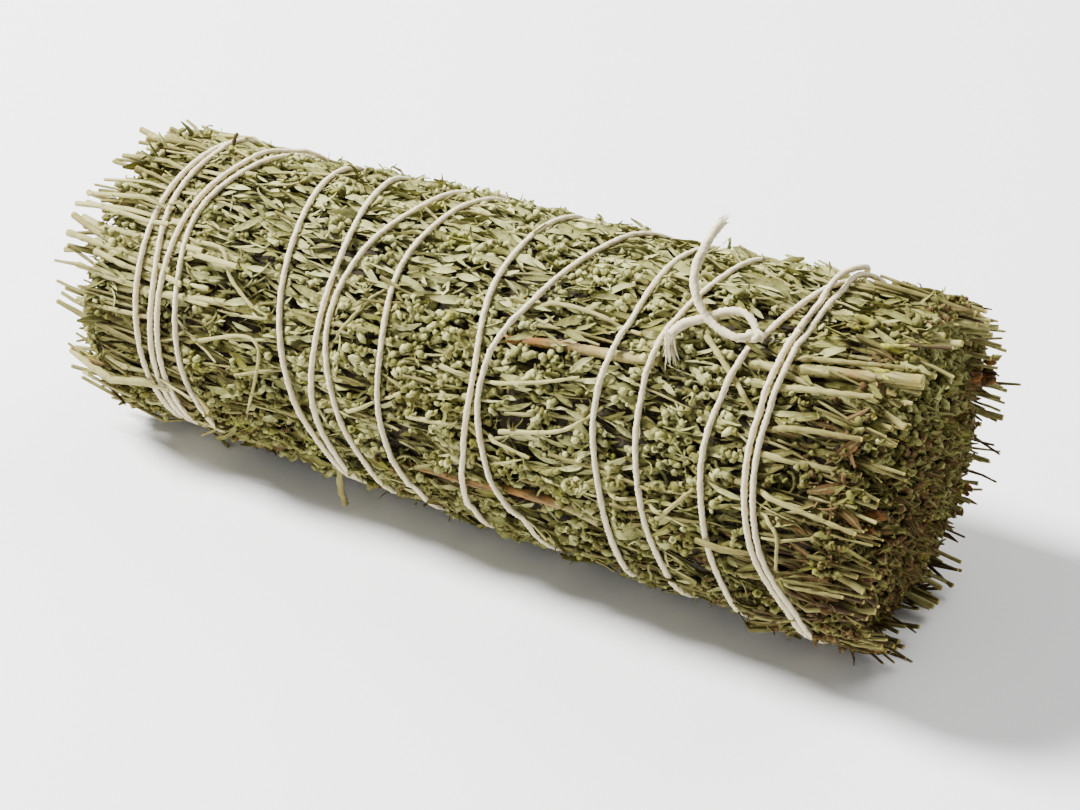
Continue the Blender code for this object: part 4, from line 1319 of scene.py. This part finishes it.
class SAGE_OT_leafy_stems(Operator):
    """Builds the sixteen leafy stems round the outside of the roll"""

    bl_idname = "sage.leafy_stems"
    bl_label = "Leafy stems"

    def execute(self, context):
        sizes, colours = context.scene.sage_sizes, context.scene.sage_colours
        finishes = make_finishes(colours)
        library = make_library()
        string = string_route(STRING_THINNING)
        tree_of_string = kdtree.KDTree(len(string))
        for i, point in enumerate(string):
            tree_of_string.insert(point, i)
        tree_of_string.balance()
        string_guide = bare_lines("string_guide", [string])
        twig_guide = bare_lines("twig_guide", twig_lines())
        tree, ends = leafy_tree(library, finishes, string_guide, twig_guide), end_tree(library, finishes)
        half = ROLL_LENGTH / 2
        extras = {}
        for radius, tint, route in STALKS:
            x, angle, _ = route[len(route) // 2]
            extras.setdefault(stem_at(x * MM, math.radians(angle)), []).append((radius, tint, route))
        rng = random.Random(23)
        bits = {}
        for colour, x, angle, share, length in BITS:
            bit = coloured_bit(colour, x, angle, share, length, rng)
            finished(bit, bpy.data.materials.get(f"{colour}_bits") or bit_finish(colours, colour))
            bits.setdefault(stem_at(x * MM, math.radians(angle)), []).append(bit)
        for index in range(OUTER_RING[1]):
            name = f"{OUTER_RING[0]}_{index + 1:02d}"
            middle = boundary_angle(OUTER_RING, index, 0) + math.pi / OUTER_RING[1]
            amount = leafiness(middle)
            patch = side_patch(OUTER_RING, index, -half + SIDE_INSETS[0], half - SIDE_INSETS[1])
            parts = [grown(f"{name}_leaves", patch, tree, {
                "Leaf Density": sizes.leaf_density * amount["leaf"], "Leaf Length": sizes.leaf_length,
                "Spray Density": sizes.spray_density * amount["spray"], "Bud Width": sizes.bud_width,
                "Curl Density": sizes.curl_density * amount["curl"], "Curl Length": sizes.curl_length,
                "Stalk Density": sizes.stalk_density * amount["stalk"], "Stalk Length": sizes.stalk_length,
                "Seed": sizes.seed * 100 + index})]
            core = inside(OUTER_RING, index, 500 + index, 1.7 * MM)
            parts.append(finished(mesh_object(f"{name}_inside", core), finishes["inside"]))
            for side, flare, *amounts in OUTER_ENDS:
                low, high = (boundary_angle(OUTER_RING, index + k, side * half) for k in (0, 1))
                patch = end_patch(low, high, OUTER_RING[2], END_SHARE, side, flare)
                parts.append(grown(f"{name}_end", patch, ends, {
                    **dict(zip(END_INPUT_NAMES, amounts)),
                    "Bud Width": sizes.bud_width, "Seed": sizes.seed * 300 + index * 2 + side}))
            for radius, tint, route in extras.get(index, ()):
                points = under_string(surface_route(route, STALK_STEPS), radius * MM, tree_of_string)
                widths = [radius * MM * (1 - 0.35 * i / (STALK_STEPS - 1) + 0.12 * math.sin(i * 1.9))
                          for i in range(STALK_STEPS)]
                stalk = mesh_object("stalk", bar(bmesh.new(), points, widths, 7, tint=tint))
                parts.append(finished(stalk, finishes["stalk"]))
            parts += bits.get(index, ())
            claim(joined(f"dressed_{name}", parts), name)
        bpy.data.objects.remove(string_guide)
        bpy.data.objects.remove(twig_guide)
        clear_library(library)
        return {"FINISHED"}


class SAGE_OT_inner_stems(Operator):
    """Builds the inner stems and the heart stem, which show at the two ends"""

    bl_idname = "sage.inner_stems"
    bl_label = "Inner stems"

    def execute(self, context):
        sizes, finishes = context.scene.sage_sizes, make_finishes(context.scene.sage_colours)
        library = make_library()
        ends = end_tree(library, finishes)
        half = ROLL_LENGTH / 2
        jobs = [(f"{MIDDLE_RING[0]}_{index + 1:02d}", index) for index in range(MIDDLE_RING[1])]
        jobs.append(("heart_stem", None))
        for name, index in jobs:
            if index is None:
                places = [i * (half - 3 * MM) / 6 for i in range(-6, 7)]
                line = [SHIFT + Vector((x, 0, axis_height(x))) for x in places]
                core = bar(bmesh.new(), line, [roll_radius(p.x) * HEART_SHARE for p in line], 12)
            else:
                core = inside(MIDDLE_RING, index, 700 + index, 0.0)
            parts = [finished(mesh_object(f"{name}_inside", core), finishes["inside"])]
            for side, flare, *amounts in INNER_ENDS:
                if index is None:
                    patch = end_patch(0.0, math.tau, 0.02, HEART_SHARE, side, flare, 10)
                else:
                    low, high = (boundary_angle(MIDDLE_RING, index + k, side * half) for k in (0, 1))
                    patch = end_patch(low, high, HEART_SHARE, OUTER_RING[2], side, flare, 5)
                place = 50 if index is None else index * 2
                parts.append(grown(f"{name}_end", patch, ends, {
                    **dict(zip(END_INPUT_NAMES, amounts)),
                    "Bud Width": sizes.bud_width, "Seed": sizes.seed * 900 + place + side}))
            claim(joined(f"dressed_{name}", parts), name)
        clear_library(library)
        return {"FINISHED"}


class SAGE_OT_twigs(Operator):
    """Builds the three bare twigs that lie in the surface"""

    bl_idname = "sage.twigs"
    bl_label = "Bare twigs"

    def execute(self, context):
        colours = context.scene.sage_colours
        for name, radius, route in TWIGS:
            rng = random.Random(len(name))
            pale = name.startswith("pale")
            slimness, lift = (PALE_SLIMNESS, PALE_LIFT) if pale else (TWIG_SLIMNESS, 0.0)
            places = smooth_route(route, TWIG_STEPS)
            points, widths = [], []
            for i, (x, angle) in enumerate(places):
                t = i / (TWIG_STEPS - 1)
                taper = spaced(TWIG_TAPER, t)
                knobs = sum(rise * math.exp(-((t - at) / reach) ** 2) for at, rise, reach in TWIG_KNOBS)
                wander = 0.12 * MM * math.sin(t * 17 + len(name))
                height = TWIG_HEIGHT + wander + lift
                points.append(on_roll(x * MM, math.radians(angle), roll_radius(x * MM) + height))
                widths.append(slimness * radius * MM * (taper + knobs + rng.uniform(-0.06, 0.06)))
            piece = mesh_object(f"bare_{name}", bar(bmesh.new(), points, widths, 14, tint=0.7))
            finished(piece, twig_finish(colours, "pale_wood" if pale else f"{name}_bark", pale))
            claim(piece, name)
        return {"FINISHED"}


def string_tree(finish):
    """Turns bare curves into twisted string: three strands, a little uneven, with closed ends."""
    made = Dressing("string_twist", (
        ("Guide", "NodeSocketGeometry", None),
        ("Step", "NodeSocketFloat", 0.65 * MM),
        ("Diameter", "NodeSocketFloat", 0.92 * STRING_DIAMETER),
        ("Twist Length", "NodeSocketFloat", 4.2 * MM),
        ("Strand Depth", "NodeSocketFloat", 0.06)), {})
    curve = made.node("GeometryNodeResampleCurve", {
        "Curve": made.input("Guide"), "Length": made.input("Step")}, mode="LENGTH")
    length = made.node("GeometryNodeSplineParameter", out="Length")
    turn = length / made.input("Twist Length") * math.tau
    curve = made.node("GeometryNodeSetCurveTilt", {"Curve": curve, "Tilt": turn})
    uneven = made.noise(made.node("GeometryNodeInputPosition"), 260, 2)
    thickness = made.node("GeometryNodeInputRadius") * (0.78 + uneven * 0.44)
    curve = made.node("GeometryNodeSetCurveRadius", {"Curve": curve, "Radius": thickness})
    curve = made.stored(curve, "run", length)
    profile = made.node("GeometryNodeCurvePrimitiveCircle", {
        "Resolution": 8, "Radius": made.input("Diameter") / 2})
    share = made.node("GeometryNodeSplineParameter", out="Factor") * math.tau
    wave = share.maths("COSINE", share * 2)
    shrink = 1 + (wave - 1) * made.input("Strand Depth")
    place = made.scaled(made.node("GeometryNodeInputPosition"), shrink)
    profile = made.node("GeometryNodeSetPosition", {"Geometry": profile, "Position": place})
    # the twist's grooves, where the material paints shade
    profile = made.stored(profile, "hollow", 0.5 - wave * 0.5)
    spun = made.vector(share.maths("COSINE", share), share.maths("SINE", share), 0.0)
    profile = made.stored(profile, "spin", spun, "FLOAT_VECTOR")
    mesh = made.node("GeometryNodeCurveToMesh", {
        "Curve": curve, "Profile Curve": profile, "Fill Caps": True,
        "Scale": made.node("GeometryNodeInputRadius")})
    spin = made.node("GeometryNodeInputNamedAttribute", {"Name": "spin"}, data_type="FLOAT_VECTOR")
    run = made.node("GeometryNodeInputNamedAttribute", {"Name": "run"}, data_type="FLOAT")
    sx, sy, _ = made.split(spin)
    mesh = made.stored(mesh, "fibre", made.vector(sx, sy, run / (1.6 * MM)), "FLOAT_VECTOR")
    mesh = made.node("GeometryNodeSetShadeSmooth", {"Geometry": mesh})
    return made.finish([(mesh, finish)])


KNOT_SIZE = 0.38 * MM
KNOT_STEPS = 61
# Fibres at the ends of the short tail, the long tail and the tuft: how many, their length, their spread in mm
FRAYS = ((46, 2.6 * MM, 0.55), (16, 1.4 * MM, 0.35), (12, 1.4 * MM, 0.30))


def knot_route():
    """A small overhand knot of string that sits on the roll."""
    seat = on_roll(KNOT_X * MM, math.radians(KNOT_ANGLE), roll_radius(KNOT_X * MM) + KNOT_HEIGHT * MM)
    outward_way = Vector((0, -math.cos(math.radians(KNOT_ANGLE)), math.sin(math.radians(KNOT_ANGLE))))
    along = Vector((1, 0, 0))
    around = outward_way.cross(along)
    points = []
    for i in range(KNOT_STEPS):
        t = math.tau * i / KNOT_STEPS
        u = math.sin(t) + 2 * math.sin(2 * t)
        v = math.cos(t) - 2 * math.cos(2 * t)
        w = -math.sin(3 * t)
        flat = (along * u + around * v * 0.8) * KNOT_SIZE * 0.72
        points.append(seat + flat + outward_way * w * KNOT_SIZE * 0.95)
    return points


def frayed(route, rng, count, length, spread):
    """Fine fibres that spread from the end of a string."""
    tip, before = route[-1], route[-4]
    ahead = (tip - before).normalized()
    made = []
    for _ in range(count):
        side = Vector((rng.uniform(-1, 1), rng.uniform(-1, 1), rng.uniform(-1, 1)))
        side = (side - ahead * side.dot(ahead)).normalized()
        start = tip - ahead * rng.uniform(0.4, 1.6) * MM + side * rng.uniform(0, spread) * MM
        reach = length * rng.uniform(0.6, 1.2)
        points = []
        for i in range(6):
            t = i / 5
            points.append(start + ahead * reach * t + side * rng.uniform(0.10, 0.20) * MM * t * t * 2.2)
        made.append(points)
    return made


class SAGE_OT_string(Operator):
    """Winds the cotton string round the roll and ties it, with its two loose tails"""

    bl_idname = "sage.string"
    bl_label = "Cotton string"

    def execute(self, context):
        finishes = make_finishes(context.scene.sage_colours)
        rng = random.Random(11)
        curve = bpy.data.curves.new("string_guide", "CURVE")
        curve.dimensions = "3D"
        routes = [(string_route(STRING_THINNING), 1.0, 1.0), (knot_route(), 1.0, 1.0)]
        long_tail, short_tail = surface_route(LONG_TAIL, 70), surface_route(SHORT_TAIL, 60)
        routes += [(long_tail, 1.3, 1.5), (short_tail, 1.15, 1.7)]
        tuft = surface_route(TUFT, 30)
        routes += [(tuft[:16], 0.35, 1.1), (tuft[15:], 1.1, 0.55)]
        for tail, fibres in zip((short_tail, long_tail, tuft), FRAYS):
            routes += [(fibre, 0.24, 0.08) for fibre in frayed(tail, rng, *fibres)]
        for points, thick, thin in routes:
            spline = curve.splines.new("POLY")
            spline.points.add(len(points) - 1)
            for i, point in enumerate(points):
                spline.points[i].co = (*point, 1)
                spline.points[i].radius = thick + (thin - thick) * i / (len(points) - 1)
        guide = bpy.data.objects.new("string_guide", curve)
        context.scene.collection.objects.link(guide)
        piece = grown("wound_string", guide, string_tree(finishes["string"]), {})
        claim(piece, "binding_string")
        return {"FINISHED"}


class SAGE_OT_stage(Operator):
    """Builds the plain floor, the soft lights and the camera"""

    bl_idname = "sage.stage"
    bl_label = "Stage"

    def execute(self, context):
        colours = context.scene.sage_colours
        bm = bmesh.new()
        bmesh.ops.create_grid(bm, x_segments=2, y_segments=2, size=FLOOR_HALF_WIDTH)
        floor = mesh_object("floor", bm)
        made = Finish("floor_paper")
        grain = made.noise(made.place, 40, 3)
        colour = made.mixed(grain * 0.06, colours.floor, [c * 0.9 for c in colours.floor])
        normal = made.bump(made.noise(made.place, 900, 2), 0.02 * MM, 0.3)
        made.set(Base_Color=colour, Roughness=0.9, Normal=normal, Specular_IOR_Level=0.1)
        finished(floor, made.material)
        for name, place, width, power in LIGHTS:
            light = bpy.data.lights.new(name, "AREA")
            light.shape = "DISK"
            light.size = width
            light.energy = power
            lamp = bpy.data.objects.new(name, light)
            lamp.location = Vector(place)
            lamp.rotation_euler = (CAMERA_TARGET - lamp.location).to_track_quat("-Z", "Y").to_euler()
            context.scene.collection.objects.link(lamp)
        world = bpy.data.worlds.new("studio")
        world.use_nodes = True
        background = world.node_tree.nodes["Background"]
        background.inputs["Color"].default_value = (1.0, 1.0, 1.0, 1.0)
        background.inputs["Strength"].default_value = WORLD_STRENGTH
        context.scene.world = world
        camera = bpy.data.objects.new("camera", bpy.data.cameras.new("camera"))
        camera.data.lens = LENS
        camera.data.sensor_width = SENSOR
        camera.location = CAMERA_PLACE
        camera.rotation_euler = (CAMERA_TARGET - CAMERA_PLACE).to_track_quat("-Z", "Y").to_euler()
        camera.data.shift_x, camera.data.shift_y = (pixels / IMAGE_WIDTH for pixels in CAMERA_SHIFT)
        camera.data.clip_start, camera.data.clip_end = 0.01, 20.0
        context.scene.collection.objects.link(camera)
        context.scene.camera = camera
        return {"FINISHED"}


STEPS = (SAGE_OT_leafy_stems, SAGE_OT_inner_stems, SAGE_OT_twigs, SAGE_OT_string, SAGE_OT_stage)


class SAGE_PT_panel(Panel):
    bl_idname = "SAGE_PT_panel"
    bl_label = "Sage Roll"
    bl_space_type = "VIEW_3D"
    bl_region_type = "UI"
    bl_category = "Sage Roll"

    def draw(self, context):
        for step in STEPS:
            self.layout.operator(step.bl_idname)
        for group in (context.scene.sage_sizes, context.scene.sage_colours):
            for name in group.__annotations__:
                self.layout.prop(group, name)


CLASSES = (SageSizes, SageColours, *STEPS, SAGE_PT_panel)


def register():
    for cls in CLASSES:
        bpy.utils.register_class(cls)
    bpy.types.Scene.sage_sizes = PointerProperty(type=SageSizes)
    bpy.types.Scene.sage_colours = PointerProperty(type=SageColours)


def unregister():
    del bpy.types.Scene.sage_sizes
    del bpy.types.Scene.sage_colours
    for cls in reversed(CLASSES):
        bpy.utils.unregister_class(cls)


def main():
    register()
    bpy.ops.sage.leafy_stems()
    bpy.ops.sage.inner_stems()
    bpy.ops.sage.twigs()
    bpy.ops.sage.string()
    bpy.ops.sage.stage()
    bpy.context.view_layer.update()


if __name__ == "__main__":
    main()
